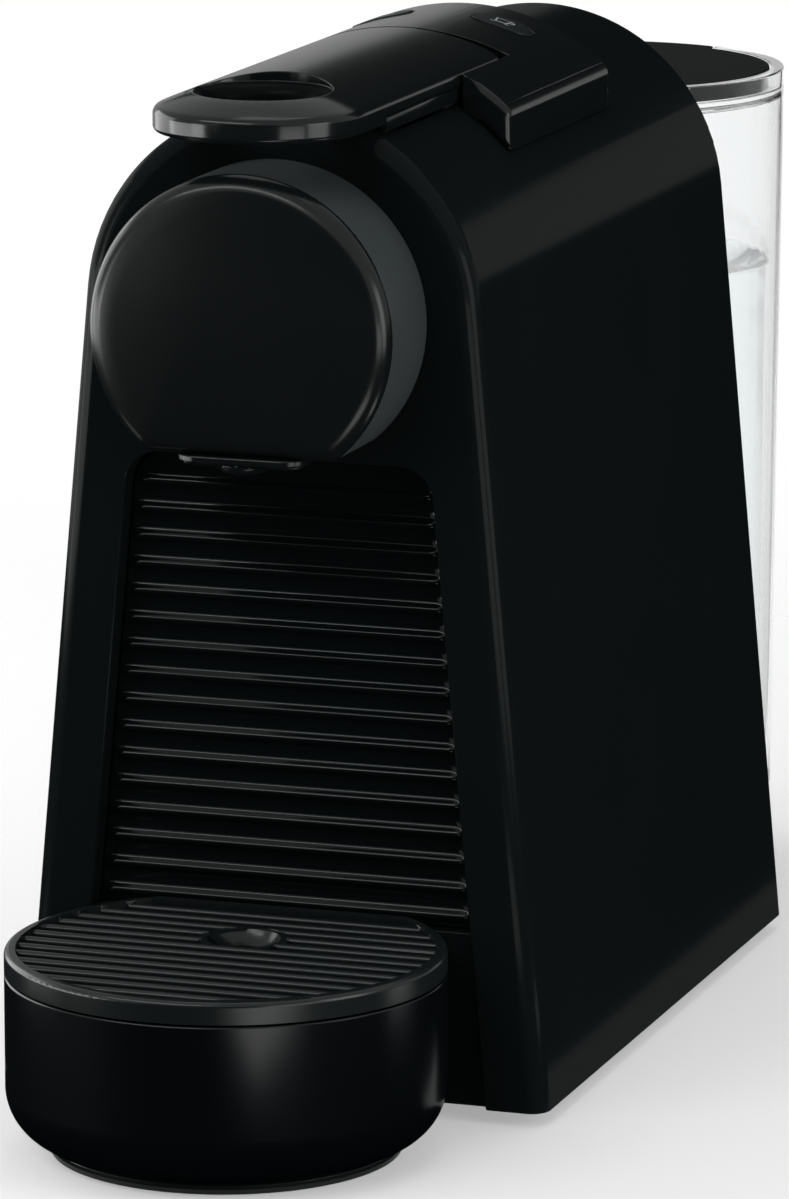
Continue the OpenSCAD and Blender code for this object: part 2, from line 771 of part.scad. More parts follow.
module pump_mounts() {
    color("#2b2d2e") for (y = [coil_y - 10, coil_y + coil_l + 3]) difference() {
        box([-pump_r - 4, y, base_top], [pump_r + 4, y + 5, pump_z + pump_r + 3]);
        rod_y(pump_r, y - 1, y + 6, 0, pump_z);
    }
}

hose_z = 12;
hose_r = 3;
meter_x = 25;
meter_half = 9;
meter_y = rear_y - 13.6;
module flow_meter() {
    color("#2d5f8a") {
        box([meter_x - meter_half, meter_y - 8, base_top], [meter_x + meter_half, meter_y + 8, base_top + 14]);
        translate([meter_x, meter_y, base_top + 13.9]) cylinder(r = 7, h = 5);
    }
}

module suction_hose() {
    z = hose_z;
    color("#9aa0a3") {
        rod_y(hose_r, meter_y + 4, dock_y - dock_r - 1, 0, z);
        translate([0, meter_y + 4, z]) sphere(r = hose_r);
        rod_x(hose_r, 0, meter_x - meter_half, meter_y + 4, z);
    }
}

module pressure_hose() {
    y = front_y + heater_y[1] - 8;
    x = 12;
    r = 2.2;
    bend_z = pump_z + 25;
    front = coil_y - 21;
    color("#b9bfc2") {
        translate([x, y, bend_z]) cylinder(r = r, h = brew_z - 18 - bend_z);
        translate([x, y, bend_z]) sphere(r = r);
        rod_y(r, front, y, x, bend_z);
        translate([x, front, bend_z]) sphere(r = r);
        translate([x, front, pump_z]) cylinder(r = r, h = bend_z - pump_z);
        translate([x, front, pump_z]) sphere(r = r);
        rod_x(r, 0, x, front, pump_z);
        translate([0, front, pump_z]) sphere(r = r);
        rod_y(r, front, coil_y - 16, 0, pump_z);
    }
}

module control_board() {
    x = -frame_x - frame_t - 4;
    y0 = front_y + frame_end - 22;
    z0 = 40;
    color("#1d5a35") {
        box([x - 1.6, y0, z0], [x, y0 + 58, z0 + 64]);
        // Spacers on the brew frame's leg
        for (y = [4, 18]) for (z = [6, 56]) rod_x(2.2, x - 0.1, x + 4, y0 + y, z0 + z);
        box([x - 9.6, y0 + 6, z0 + 8], [x - 1.5, y0 + 22, z0 + 26]);
        rod_x(6, x - 11, x - 1.5, y0 + 36, z0 + 16);
        box([x - 6.6, y0 + 28, z0 + 38], [x - 1.5, y0 + 52, z0 + 56]);
    }
}

module cord_gland() {
    color("#202325") difference() {
        union() {
            rod_y(gland_r - 1.6, rear_y - rear_t - 3, rear_y + 0.1, gland_x, gland_z);
            rod_y(gland_r, rear_y, rear_y + 5, gland_x, gland_z);
            rod_y(gland_r, rear_y - rear_t - 3, rear_y - rear_t, gland_x, gland_z);
        }
        rod_y(3, rear_y - 10, rear_y + 6, gland_x, gland_z);
    }
}

module case_screws() {
    color("#777b7d") for (p = cover_screws) {
        rod_y(3, rear_y - 1.6, rear_y - 0.2, p[0], p[1]);
        rod_y(1.5, rear_y - 8, rear_y - 1.5, p[0], p[1]);
    }
}

module module_base() {
    y0 = front_y + lower_recess;
    y1 = front_y + front_t + 1.5;
    low = shell_lift;
    color("#15191a") {
        difference() {
            union() {
                along_y(y0, y1) opening_outline(slide_gap, low, opening_top);
                box([-pan_x, y1 - 0.1, module_floor], [pan_x, front_y + pan_end, pan_top]);
            }
            box([-body_w, y0 - 1, pan_top], [body_w, y1 + 1, opening_top + 1]);
            box([-pan_x + pan_t, y1, module_floor + pan_t],
                [pan_x - pan_t, front_y + pan_end - pan_t, pan_top + 1]);
            // Sockets for the drip bowl's tongues
            for (x = hook_x) box([x - hook_w / 2 - slide_gap, y0 - 1, hook_z - slide_gap],
                [x + hook_w / 2 + slide_gap, y1 + 0.5, hook_z + hook_h + slide_gap]);
        }
    }
}
hook_x = [-18, 18];
hook_w = 7;
hook_z = 20;
hook_h = 4;

module front_panel() {
    y0 = front_y + panel_recess;
    rib_count = floor((opening_top - seam_z - 6.5) / rib_pitch) + 1;
    top_rib = seam_z + 2.2 + (rib_count - 1) * rib_pitch;
    color("#16191b") difference() {
        union() {
            along_y(y0, y0 + panel_t) opening_outline(slide_gap, seam_z, opening_top);
            for (i = [0 : rib_count - 1]) {
                z = top_rib - i * rib_pitch;
                x = half_w(z, flank_w + slide_gap) - 0.2;
                rod_x(rib_r, -x, x, y0 + 0.1, z);
            }
        }
        box([-body_w, y0 - 3, 0], [body_w, y0 + panel_t + 1, seam_z]);
    }
}

module pod_container() {
    y0 = front_y + panel_recess + panel_t;
    y1 = front_y + bin_end;
    color("#1d2123") difference() {
        union() {
            box([-bin_x, y0, bin_floor], [bin_x, y1, bin_top]);
            // Flange that rests on the pan
            box([-pan_x, y0, bin_floor], [pan_x, y1, bin_floor + bin_t]);
        }
        box([-bin_x + bin_t, y0 + bin_t, bin_floor + bin_t], [bin_x - bin_t, y1 - bin_t, bin_top + 1]);
        for (i = [-2 : 2]) box([i * 8 - 1.5, y0 + 12, bin_floor - 1], [i * 8 + 1.5, y1 - 10, bin_floor + bin_t + 1]);
    }
}

tray_cut = front_y + lower_recess - slide_gap;
bowl_top = tray_top - rim_h;

// Keeps what lies in front of the module
module before_front(gap = 0) {
    intersection() {
        children();
        box([-tray_r - 1, tray_y - tray_r - 1, -1], [tray_r + 1, tray_cut - gap, tray_top + 1]);
    }
}

// Section of the bowl: radius across, height up
module bowl_section(inset) {
    r = tray_r - inset;
    round_r = bowl_round - inset;
    low = foot_h + inset;
    square([r, 0.001]);
    translate([0, low]) square([r - round_r, bowl_top - low]);
    translate([0, low + round_r]) square([r, bowl_top - low - round_r]);
    translate([r - round_r, low + round_r]) circle(round_r);
}
foot_h = 2;

module drip_bowl() {
    color("#191d1f") union() {
        difference() {
            before_front() translate([0, tray_y, 0]) rotate_extrude() intersection() {
                bowl_section(0);
                translate([0, foot_h]) square([tray_r + 1, bowl_top]);
            }
            before_front(bowl_t) translate([0, tray_y, 0]) rotate_extrude() intersection() {
                union() {
                    bowl_section(bowl_t);
                    translate([0, bowl_top - 3]) square([tray_r - bowl_t, 8]);
                }
                translate([0, foot_h + bowl_t]) square([tray_r + 1, bowl_top + 4]);
            }
        }
        // Tongues that hold the bowl on the module
        for (x = hook_x) {
            box([x - hook_w / 2, tray_cut - 0.1, hook_z], [x + hook_w / 2, tray_cut + 4.2, hook_z + hook_h]);
        }
    }
}

module bowl_foot() {
    color("#202325") before_front() translate([0, tray_y, 0]) difference() {
        cylinder(r = foot_r, h = foot_h);
        translate([0, 0, -1]) cylinder(r = foot_r - 4, h = foot_h + 2);
    }
}

module grid_plan(inset, gap) {
    intersection() {
        translate([0, tray_y]) circle(tray_r - inset);
        translate([-tray_r - 1, tray_y - tray_r - 1]) square([2 * tray_r + 2, tray_cut - gap - tray_y + tray_r + 1]);
    }
}

module cup_grid() {
    low = bowl_top + slide_gap;
    edge = 1.2;
    bar_top = tray_top - 0.6;
    bar_low = bar_top - 3;
    hole_y = front_y - spout_y - 1.5;
    first = tray_cut - rim_w - 2.6;
    color("#1b1f21") union() {
        // Rim, rounded along its upper edge
        intersection() {
            translate([0, tray_y, 0]) rotate_extrude() difference() {
                union() {
                    translate([0, low]) square([tray_r, tray_top - edge - low]);
                    translate([0, low]) square([tray_r - edge, tray_top - low]);
                    translate([tray_r - edge, tray_top - edge]) circle(edge);
                }
            }
            translate([0, 0, low - 1]) linear_extrude(rim_h + 2) difference() {
                grid_plan(0, 0);
                grid_plan(rim_w, rim_w);
            }
        }
        intersection() {
            union() {
                for (i = [0 : bar_count - 1]) {
                    y = first - i * bar_pitch;
                    box([-tray_r, y - bar_w / 2, bar_low], [tray_r, y + bar_w / 2, bar_top - bar_w / 2]);
                    rod_x(bar_w / 2, -tray_r, tray_r, y, bar_top - bar_w / 2);
                }
                // Ribs under the bars
                for (x = [-24, 0, 24]) box([x - 1, tray_y - tray_r, low], [x + 1, tray_cut, bar_low + 0.6]);
            }
            translate([0, 0, low - 1]) linear_extrude(rim_h + 2) difference() {
                grid_plan(rim_w - 0.1, rim_w - 0.1);
                translate([0, hole_y]) circle(drip_hole_r);
            }
        }
        // Funnel ring in the middle
        translate([0, hole_y, 0]) difference() {
            translate([0, 0, low]) cylinder(r = drip_hole_r + 0.6, h = bar_top - 0.4 - low);
            translate([0, 0, low - 1]) cylinder(r = drip_hole_r - 3.4, h = 10);
            translate([0, 0, bar_top + 3.4]) sphere(r = 8.2);
        }
    }
}

module tank_stand() {
    color("#1a1e20") difference() {
        union() {
            translate([0, tank_y, shell_lift]) cylinder(r = tank_r - 4, h = stand_top - shell_lift);
            box([-30, rear_y, shell_lift], [30, tank_y, stand_top]);
        }
        translate([0, dock_y, stand_top - dock_depth]) cylinder(r = dock_r, h = dock_depth + 1);
        rod_y(hose_r + 0.3, rear_y - 1, dock_y - dock_r - 0.7, 0, hose_z);
        rod_y(hose_r - 1, rear_y, dock_y, 0, hose_z);
    }
}

module dock_seal() {
    color("#b0552c") translate([0, dock_y, stand_top - dock_depth]) difference() {
        cylinder(r = dock_r, h = 2);
        translate([0, 0, -1]) cylinder(r = 4, h = 4);
    }
}

module dock_pin() {
    color("#2b2f31") translate([0, dock_y, stand_top - dock_depth]) {
        cylinder(r = 1.5, h = tank_floor - 1.2 - (stand_top - dock_depth) - slide_gap);
        cylinder(r = 3.6, h = 1);
    }
}

// Section of the tank wall: radius across, height up
module tank_section(inset, low) {
    top = tank_top;
    r0 = tank_r - tank_draft - inset;
    r1 = tank_r - inset;
    edge = 4;
    polygon([[0, low], [r0 - edge, low], [r0 - edge * 0.29, low + edge * 0.29], [r0, low + edge],
        [r1, top], [0, top]]);
}

module water_tank() {
    color("#dfe6e8", 0.35) union() {
        difference() {
            translate([0, tank_y, 0]) rotate_extrude() tank_section(0, tank_floor);
            translate([0, tank_y, 0]) rotate_extrude() intersection() {
                tank_section(tank_t, tank_floor + floor_t);
                square([tank_r, tank_top - rim_depth]);
            }
            translate([0, tank_y, tank_top - rim_depth - 0.5]) cylinder(r = tank_r - tank_rim, h = rim_depth + 2);
            // Notch for the lid's thumb tab
            box([-tab_x - slide_gap, tank_y, tank_top - tab_h - slide_gap],
                [tab_x + slide_gap, tank_y + tank_r + 1, tank_top + 1]);
            translate([0, dock_y, tank_floor - 1]) cylinder(r = seat_r, h = floor_t + 2);
        }
        // Ledge that carries the lid
        translate([0, tank_y, tank_top - plug_h - slide_gap - 1.4]) difference() {
            cylinder(r = tank_r - tank_t - 0.4, h = 1.4);
            translate([0, 0, -1]) cylinder(r = lid_r - 2, h = 4);
        }
    }
}
rim_depth = 6;
tab_h = 2.6;

module tank_lid() {
    color("#2c3133") translate([0, tank_y, 0]) difference() {
        union() {
            translate([0, 0, tank_top - plug_h]) cylinder(r = lid_r, h = plug_h);
            intersection() {
                box([-tab_x, 0, tank_top - tab_h], [tab_x, tank_r, tank_top]);
                translate([0, 0, tank_top - 4]) cylinder(r = tank_r - 0.2, h = 4);
            }
        }
        translate([0, 0, tank_top - plug_h - 1]) cylinder(r = lid_r - 1.8, h = plug_h - 1);
    }
}

module valve_seat() {
    z = tank_floor;
    color("#24282a") translate([0, dock_y, 0]) difference() {
        union() {
            translate([0, 0, stand_top - dock_depth + 2.4]) cylinder(r = seat_r - 1.4, h = z - stand_top + dock_depth);
            translate([0, 0, z]) cylinder(r = seat_r, h = floor_t);
            translate([0, 0, z + floor_t]) cylinder(r = seat_r + 1.4, h = valve_h);
        }
        translate([0, 0, 0]) cylinder(r = 2.8, h = z + 2.2);
        translate([0, 0, z + 2.1]) cylinder(r = 4.8, h = valve_h - 0.6);
        for (a = [0, 90]) translate([0, 0, z + floor_t + 3]) rotate([0, 0, a]) translate([-10, -1.5, 0]) cube([20, 3, 3]);
    }
}
valve_h = 11;
poppet_z = tank_floor + 2.1 + 3.2;

module valve_poppet() {
    color("#b33a2e") translate([0, dock_y, 0]) {
        translate([0, 0, poppet_z]) cylinder(r = 4.4, h = 1.8);
        translate([0, 0, tank_floor - 1]) cylinder(r = 1.6, h = poppet_z - tank_floor + 1.1);
    }
}

module valve_spring() {
    turns = 3;
    low = poppet_z + 1.8 + 0.5;
    high = tank_floor + floor_t + valve_h - 1.7;
    pitch = (high - low) / turns;
    color("silver") translate([0, dock_y, 0]) for (i = [0 : turns])
        translate([0, 0, low + i * pitch]) rotate_extrude() translate([3.4, 0]) circle(0.4, $fn = 24);
}

body_shell();
rear_cover();
base_plate();
foot_pads();
bridge_cover();
switch_board();
small_cup_button();
large_cup_button();
brew_frame();
hinge_pin();
lever_handle();
lever_cams();
pod_cage();
cage_carriage();
piercing_needles();
water_tube();
extraction_plate();
outlet_duct();
outlet_collar();
outlet_cap();
spout_nozzle();
thermoblock();
thermostats();
pump_coil();
pump_barrel();
pump_mounts();
flow_meter();
suction_hose();
pressure_hose();
control_board();
cord_gland();
case_screws();
module_base();
front_panel();
pod_container();
drip_bowl();
bowl_foot();
cup_grid();
tank_stand();
dock_seal();
dock_pin();
water_tank();
valve_seat();
valve_poppet();
valve_spring();
tank_lid();
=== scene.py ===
# %% [markdown]
# # A compact pod coffee machine
# The machine comes in as a CAD frame: exact solids in metres, each riding on the body that it moves with.
# Blender adds what a drawing can't show: softened edges, moulded plastic, polished steel, clear water.
# We first load the frame. Nothing that we add may grow the machine.

# %% Load the frame
import bpy
import bmesh
import json
from math import radians, degrees, sqrt, sin, cos, asin, atan2, pi, hypot
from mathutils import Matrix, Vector


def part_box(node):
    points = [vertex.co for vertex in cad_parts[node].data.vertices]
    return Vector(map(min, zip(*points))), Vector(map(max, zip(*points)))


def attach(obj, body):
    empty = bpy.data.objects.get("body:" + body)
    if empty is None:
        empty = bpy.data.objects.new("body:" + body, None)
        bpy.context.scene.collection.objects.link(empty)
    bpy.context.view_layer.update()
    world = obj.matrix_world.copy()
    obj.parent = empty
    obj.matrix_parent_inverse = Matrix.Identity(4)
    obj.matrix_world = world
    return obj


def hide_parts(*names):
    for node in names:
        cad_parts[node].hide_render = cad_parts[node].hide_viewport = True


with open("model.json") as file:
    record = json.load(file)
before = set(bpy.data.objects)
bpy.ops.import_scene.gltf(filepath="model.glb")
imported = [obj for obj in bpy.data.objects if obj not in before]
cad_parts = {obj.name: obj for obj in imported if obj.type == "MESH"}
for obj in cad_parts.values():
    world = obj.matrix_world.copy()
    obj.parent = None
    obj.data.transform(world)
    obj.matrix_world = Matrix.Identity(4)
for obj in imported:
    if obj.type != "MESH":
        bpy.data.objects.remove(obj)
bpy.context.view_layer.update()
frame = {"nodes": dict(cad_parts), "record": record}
scene = bpy.context.scene
mm = 0.001
body_of = {n: b for b, names in frame["record"]["behaviour"]["bodies"].items() for n in names}

# %% [markdown]
# A few real sizes come back again and again: where the front face is, where the arch is centred, and how
# far the sides lean. They could be measured from the meshes, but a named value is easier to read. The
# front face and the rear edge are read from the shell's own box, so that they follow the CAD.

# %% Sizes that several pieces share
shell_low, shell_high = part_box("body_shell")
front_y, rear_y = shell_low[1], shell_high[1]
arch_z = 158.4 * mm
crown_r = 46.9 * mm
tray_y = front_y - 30.8 * mm
tank_y = rear_y + 41.25 * mm
arch_r = 40.6 * mm
foot_half, foot_drop = 55 * mm, 155.8 * mm
lean = atan2(foot_half, foot_drop) - asin(arch_r / hypot(foot_half, foot_drop))


def half_width(z, inset):
    """Half of the shell's width at a height, less an inset."""
    return (arch_r - inset + (arch_z - z) * sin(lean)) / cos(lean)


print("front", round(front_y, 5), "rear", round(rear_y, 5), "lean in degrees", round(degrees(lean), 2))

# %% [markdown]
# The camera stands in front and to the right, a little above the machine, with a long lens. A long lens
# keeps the upright lines nearly parallel, as in a catalogue. We could track the camera to a target, but
# fixed angles are exact and stay put.

# %% Camera
camera_data = bpy.data.cameras.new("catalogue_camera")
camera_data.lens = 223.73
camera_data.sensor_width = 36
camera_data.sensor_fit = "AUTO"
camera_data.clip_end = 20
camera = bpy.data.objects.new("catalogue_camera", camera_data)
camera.location = (0.47779, -1.43, 0.3999)
camera.rotation_euler = (radians(78.1876), 0, radians(18.6951))
scene.collection.objects.link(camera)
scene.camera = camera
scene.view_settings.view_transform = "Standard"
print("camera at", [round(v, 3) for v in camera.location])

# %% [markdown]
# ## Finishes
# Moulded plastic is never one flat colour. Its skin has a fine grain, the gloss drifts a little from spot
# to spot, and tiny sink marks bend the reflections. One recipe builds them all: noise on Object
# coordinates moves the colour and the roughness a little, and a finer noise gives the bump. The black
# plastics scatter hardly any light, so a weak clear coat carries their reflections. Numbers that are the
# same all over stay on the shader's own sockets.

# %% The recipe for moulded plastic
def new_material(name):
    material = bpy.data.materials.new(name)
    material.use_nodes = True
    nodes, links = material.node_tree.nodes, material.node_tree.links
    return material, nodes, links, nodes["Principled BSDF"]


def noise(nodes, links, coordinates, scale, detail):
    node = nodes.new("ShaderNodeTexNoise")
    node.inputs["Scale"].default_value = scale
    node.inputs["Detail"].default_value = detail
    links.new(coordinates, node.inputs["Vector"])
    return node.outputs["Fac"]


def spread(nodes, links, factor, low, high):
    node = nodes.new("ShaderNodeMapRange")
    node.inputs["From Min"].default_value, node.inputs["From Max"].default_value = 0.3, 0.7
    node.inputs["To Min"].default_value, node.inputs["To Max"].default_value = low, high
    links.new(factor, node.inputs["Value"])
    return node.outputs["Result"]


def bump(nodes, links, height, distance, over=None):
    """Turn a height into a tilted normal, on top of another one if it is given."""
    node = nodes.new("ShaderNodeBump")
    node.inputs["Distance"].default_value = distance
    node.inputs["Strength"].default_value = 1.0
    links.new(height, node.inputs["Height"])
    if over:
        links.new(over, node.inputs["Normal"])
    return node.outputs["Normal"]


drift, patch_scale, sink_scale = 0.12, 22, 45


def moulded(name, colour, rough, specular, grain=900, grain_depth=0.00001, wave=0.00002, coat=(0.0, 0.1)):
    """A plastic; coat is the weight and the roughness of its clear top layer."""
    material, nodes, links, shader = new_material(name)
    place = nodes.new("ShaderNodeTexCoord").outputs["Object"]
    patchy = noise(nodes, links, place, patch_scale, 3)
    mix = nodes.new("ShaderNodeMix")
    mix.data_type = "RGBA"
    mix.inputs["A"].default_value = (*[c * (1 - drift) for c in colour], 1)
    mix.inputs["B"].default_value = (*[c * (1 + drift) for c in colour], 1)
    links.new(patchy, mix.inputs["Factor"])
    links.new(mix.outputs["Result"], shader.inputs["Base Color"])
    gloss = spread(nodes, links, patchy, rough * (1 - drift), rough * (1 + drift))
    links.new(gloss, shader.inputs["Roughness"])
    fine = bump(nodes, links, noise(nodes, links, place, grain, 2), grain_depth)
    soft = bump(nodes, links, noise(nodes, links, place, sink_scale, 1), wave, over=fine)
    links.new(soft, shader.inputs["Normal"])
    shader.inputs["Specular IOR Level"].default_value = specular
    shader.inputs["Coat Weight"].default_value = coat[0]
    shader.inputs["Coat Roughness"].default_value = coat[1]
    return material


satin = {"rough": 0.4, "specular": 0.0, "grain": 1500, "grain_depth": 0.000004}
shiny = {"rough": 0.4, "specular": 0.0, "grain": 900, "grain_depth": 0.000001, "wave": 0.000012}
shell_black = moulded("satin_black_shell", (0.0042, 0.0058, 0.0059), **satin, coat=(0.07, 0.13))
front_black = moulded("satin_black_front", (0.0040, 0.0056, 0.0057), **satin, coat=(0.14, 0.2))
ribbed_black = moulded("ribbed_panel_black", (0.0022, 0.0034, 0.0036), 0.4, 0.0, 1500, 0.000002, coat=(0.3, 0.11))
gloss_black = moulded("polished_black_lever", (0.0040, 0.0054, 0.0056), **shiny, coat=(0.4, 0.16))
head_black = moulded("satin_black_head", (0.0042, 0.0056, 0.0057), **satin, coat=(0.4, 0.22))
# The collar is the same black as the cap. Its colour is painted lighter to stand in for the light that falls on it
# from the right and above.
painted_light_ring_black = moulded("collar_black_painted_light", (0.0330, 0.0390, 0.0395), **satin, coat=(0.2, 0.35))
bowl_black = moulded("polished_black_bowl", (0.0012, 0.0020, 0.0026), **shiny, coat=(0.4, 0.2))
grid_black = moulded("cup_support_black", (0.0056, 0.0076, 0.0078), **satin, coat=(0.45, 0.24))
button_black = moulded("key_black", (0.0080, 0.0105, 0.0108), **satin, coat=(0.2, 0.25))
lid_black = moulded("tank_lid_black", (0.0050, 0.0066, 0.0067), **satin, coat=(0.06, 0.3))
# A darker, duller black for the finger hole and the drip dish: painted shade in those recesses.
recess_shade_black = moulded("painted_recess_shade", (0.0030, 0.0040, 0.0041), 0.5, 0.0, 1500, 0.000004, coat=(0.04, 0.3))
inner_grey = moulded("glass_filled_nylon", (0.024, 0.027, 0.028), 0.55, 0.3, grain_depth=0.00003)
stand_black = moulded("grained_black_stand", (0.009, 0.011, 0.0115), 0.5, 0.25, grain_depth=0.00003)
print("plastics ready")

# %% [markdown]
# Rubber, silicone and the coil's case use the same recipe with a duller skin. Reusing a recipe keeps the
# pieces looking as if they came from one factory.

# %% Soft and dull finishes
rubber_black = moulded("soft_black_rubber", (0.012, 0.012, 0.012), 0.75, 0.2, grain_depth=0.00004)
seal_orange = moulded("silicone_seal", (0.42, 0.10, 0.03), 0.5, 0.3)
hose_grey = moulded("silicone_hose", (0.45, 0.48, 0.50), 0.42, 0.35)
coil_red = moulded("coil_case_red", (0.17, 0.022, 0.016), 0.4, 0.35)
meter_blue = moulded("meter_blue", (0.03, 0.10, 0.21), 0.35, 0.35)
poppet_red = moulded("poppet_red", (0.36, 0.03, 0.02), 0.5, 0.3)
board_green = moulded("board_green", (0.010, 0.075, 0.028), 0.35, 0.4, grain=2600, grain_depth=0.00002)
pictogram_grey = moulded("pictogram_print", (0.30, 0.32, 0.33), 0.5, 0.2)
print("soft finishes ready")

# %% [markdown]
# Metal inside the machine is worked, not polished: the pins are ground, and the heater is a casting. A
# noise that is stretched along one axis draws the fine lines of grinding. A Mapping node does the
# stretching, so the pattern stays fixed to the piece when it moves.

# %% Metals
def metal(name, colour, rough, stretch, depth):
    material, nodes, links, shader = new_material(name)
    place = nodes.new("ShaderNodeTexCoord").outputs["Object"]
    mapping = nodes.new("ShaderNodeMapping")
    mapping.inputs["Scale"].default_value = stretch
    links.new(place, mapping.inputs["Vector"])
    lines = noise(nodes, links, mapping.outputs["Vector"], 300, 3)
    links.new(spread(nodes, links, lines, rough * 0.75, rough * 1.3), shader.inputs["Roughness"])
    links.new(bump(nodes, links, lines, depth), shader.inputs["Normal"])
    shader.inputs["Base Color"].default_value = (*colour, 1)
    shader.inputs["Metallic"].default_value = 1.0
    return material


ground_steel = metal("ground_steel", (0.55, 0.56, 0.57), 0.25, (1, 12, 12), 0.00001)
zinc_dark = metal("dark_zinc", (0.20, 0.21, 0.22), 0.38, (1, 1, 1), 0.00002)
cast_alloy = metal("cast_alloy", (0.42, 0.44, 0.45), 0.48, (1, 1, 1), 0.00006)
pump_brass = metal("turned_brass", (0.60, 0.44, 0.18), 0.3, (12, 1, 12), 0.00001)
print("metals ready")

# %% [markdown]
# The tank is clear plastic. Real refraction through a thin wall and the water behind it costs many rays,
# and a thin wall hardly bends light at all. So the wall is mostly transmission with an index near that
# of the plastic, and the water is a separate body inside with its own index. Very faint mottling in the
# roughness keeps the wall from looking like nothing.

# %% Clear plastic and water
def clear(name, colour, index, rough, wave):
    material, nodes, links, shader = new_material(name)
    place = nodes.new("ShaderNodeTexCoord").outputs["Object"]
    mottle = spread(nodes, links, noise(nodes, links, place, 30, 2), rough * 0.6, rough * 1.4)
    links.new(mottle, shader.inputs["Roughness"])
    links.new(bump(nodes, links, noise(nodes, links, place, 35, 1), wave), shader.inputs["Normal"])
    shader.inputs["Base Color"].default_value = (*colour, 1)
    shader.inputs["Transmission Weight"].default_value = 1.0
    shader.inputs["IOR"].default_value = index
    return material


tank_clear = clear("clear_tank_plastic", (0.97, 0.98, 0.982), 1.46, 0.04, 0.00003)
water_clear = clear("clean_water", (0.95, 0.98, 0.985), 1.33, 0.01, 0.00001)
print("clear materials ready")

# %% [markdown]
# ## From a mesh to a piece
# Several steps below build a mesh point by point with bmesh. They all end in the same way: the faces are
# turned outward, the mesh gets its material, and an object carries it. Two helpers do that once.

# %% Helpers for new pieces
def place_piece(name, data):
    piece = bpy.data.objects.new(name, data)
    scene.collection.objects.link(piece)
    return piece


def piece_from(name, work, material, smooth=None):
    """Turn a bmesh into a piece, with smooth shading up to an angle in degrees."""
    bmesh.ops.recalc_face_normals(work, faces=work.faces)
    mesh = bpy.data.meshes.new(name)
    work.to_mesh(mesh)
    work.free()
    if smooth:
        mesh.shade_smooth()
        mesh.set_sharp_from_angle(angle=radians(smooth))
    mesh.materials.append(material)
    return place_piece(name, mesh)


print("piece helpers ready")

# %% [markdown]
# ## Softened edges
# A CAD edge is infinitely sharp, so it never catches light. A real moulding has a small radius on every
# edge. We could round each edge in CAD, but that makes heavy solids. Instead we copy the node's mesh,
# weld its loose triangles, melt the flat areas into single faces, and let a narrow Bevel modifier round
# what is still sharp. Weighted normals keep the big flat faces flat in the reflections.

# %% Polish a CAD node
weld_distance = 0.002 * mm
flat_turn, sharp_turn = radians(0.4), radians(34)


def polish(node, material, width, fat=None, inner=None):
    """Replace a node by a copy with soft edges.

    fat is a test of an edge's middle, and the width of the rounder edge where it passes.
    inner is a second material, and a test of a face's corners that picks the faces for it.
    """
    mesh = frame["nodes"][node].data.copy()
    mesh.name = node + "_finished"
    mesh.materials.clear()
    mesh.materials.append(material)
    work = bmesh.new()
    work.from_mesh(mesh)
    bmesh.ops.remove_doubles(work, verts=work.verts, dist=weld_distance)
    bmesh.ops.dissolve_limit(work, angle_limit=flat_turn, verts=work.verts, edges=work.edges)
    if fat:
        is_fat, fat_width = fat
        chosen = [e for e in work.edges
                  if e.calc_face_angle(0.0) > sharp_turn and is_fat((e.verts[0].co + e.verts[1].co) / 2)]
        bmesh.ops.bevel(work, geom=chosen, offset=fat_width, segments=5, profile=0.5, affect="EDGES",
                        clamp_overlap=False)
        print(node, "fat edges", len(chosen))
    work.to_mesh(mesh)
    work.free()
    if mesh.has_custom_normals:
        mesh.normals_split_custom_set([(0, 0, 0)] * len(mesh.loops))
    if inner:
        second_material, is_inner = inner
        mesh.materials.append(second_material)
        for face in mesh.polygons:
            face.material_index = int(is_inner([mesh.vertices[i].co for i in face.vertices]))
    piece = place_piece(node + "_finished", mesh)
    mesh.shade_smooth()
    if width:
        bevel = piece.modifiers.new("soft_edges", "BEVEL")
        bevel.width = width
        bevel.segments = 2
        bevel.limit_method = "ANGLE"
        bevel.angle_limit = sharp_turn
        bevel.use_clamp_overlap = False
        bevel.harden_normals = False
    mesh.set_sharp_from_angle(angle=sharp_turn)
    weighted = piece.modifiers.new("flat_faces_stay_flat", "WEIGHTED_NORMAL")
    weighted.keep_sharp = True
    weighted.weight = 80
    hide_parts(node)
    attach(piece, body_of[node])


polished = {
    "body_shell": (shell_black, 0.35), "outlet_collar": (painted_light_ring_black, 0.3), "spout_nozzle": (gloss_black, 0.3),
    "module_base": (front_black, 0.35), "drip_bowl": (bowl_black, 0.35), "bowl_foot": (grid_black, 0.3),
    "tank_lid": (lid_black, 0.35), "small_cup_button": (button_black, 0.25),
    "large_cup_button": (button_black, 0.25), "tank_stand": (stand_black, 0.5), "rear_cover": (stand_black, 0.3),
    "water_tank": (tank_clear, 0.3), "base_plate": (stand_black, 0.3), "pod_container": (inner_grey, 0.3),
    "foot_pads": (rubber_black, 0.4),
}
for node, (material, width) in polished.items():
    polish(node, material, width * mm)
print("polished", len(polished), "nodes")

# %% [markdown]
# The lever and the block behind it are what a hand touches, so their outer edges are much rounder than the
# rest. A test on an edge's place picks those edges, and bmesh rounds them before the narrow bevel runs.
# The lever's finger hole and the dish in the cup grid are in shade, so their walls get a darker, duller black as
# painted shade.

# %% Round edges where the hand goes
lever_half = 21 * mm
nose_y = front_y - 8.3 * mm
rim_depth = 0.6 * mm
wing_gap, wing_length, block_side = 3 * mm, 60 * mm, 31 * mm
dish_r, dish_drop, hole_r = 13 * mm, 0.8 * mm, 13.5 * mm
grid_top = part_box("cup_grid")[1][2]


def on_lever_rim(middle):
    return hypot(middle.x, min(middle.y - nose_y, 0)) > lever_half - rim_depth


def on_block_wing(middle):
    beside_lever = abs(middle.x) > lever_half + wing_gap and middle.y < front_y + wing_length
    return beside_lever or abs(middle.x) > block_side


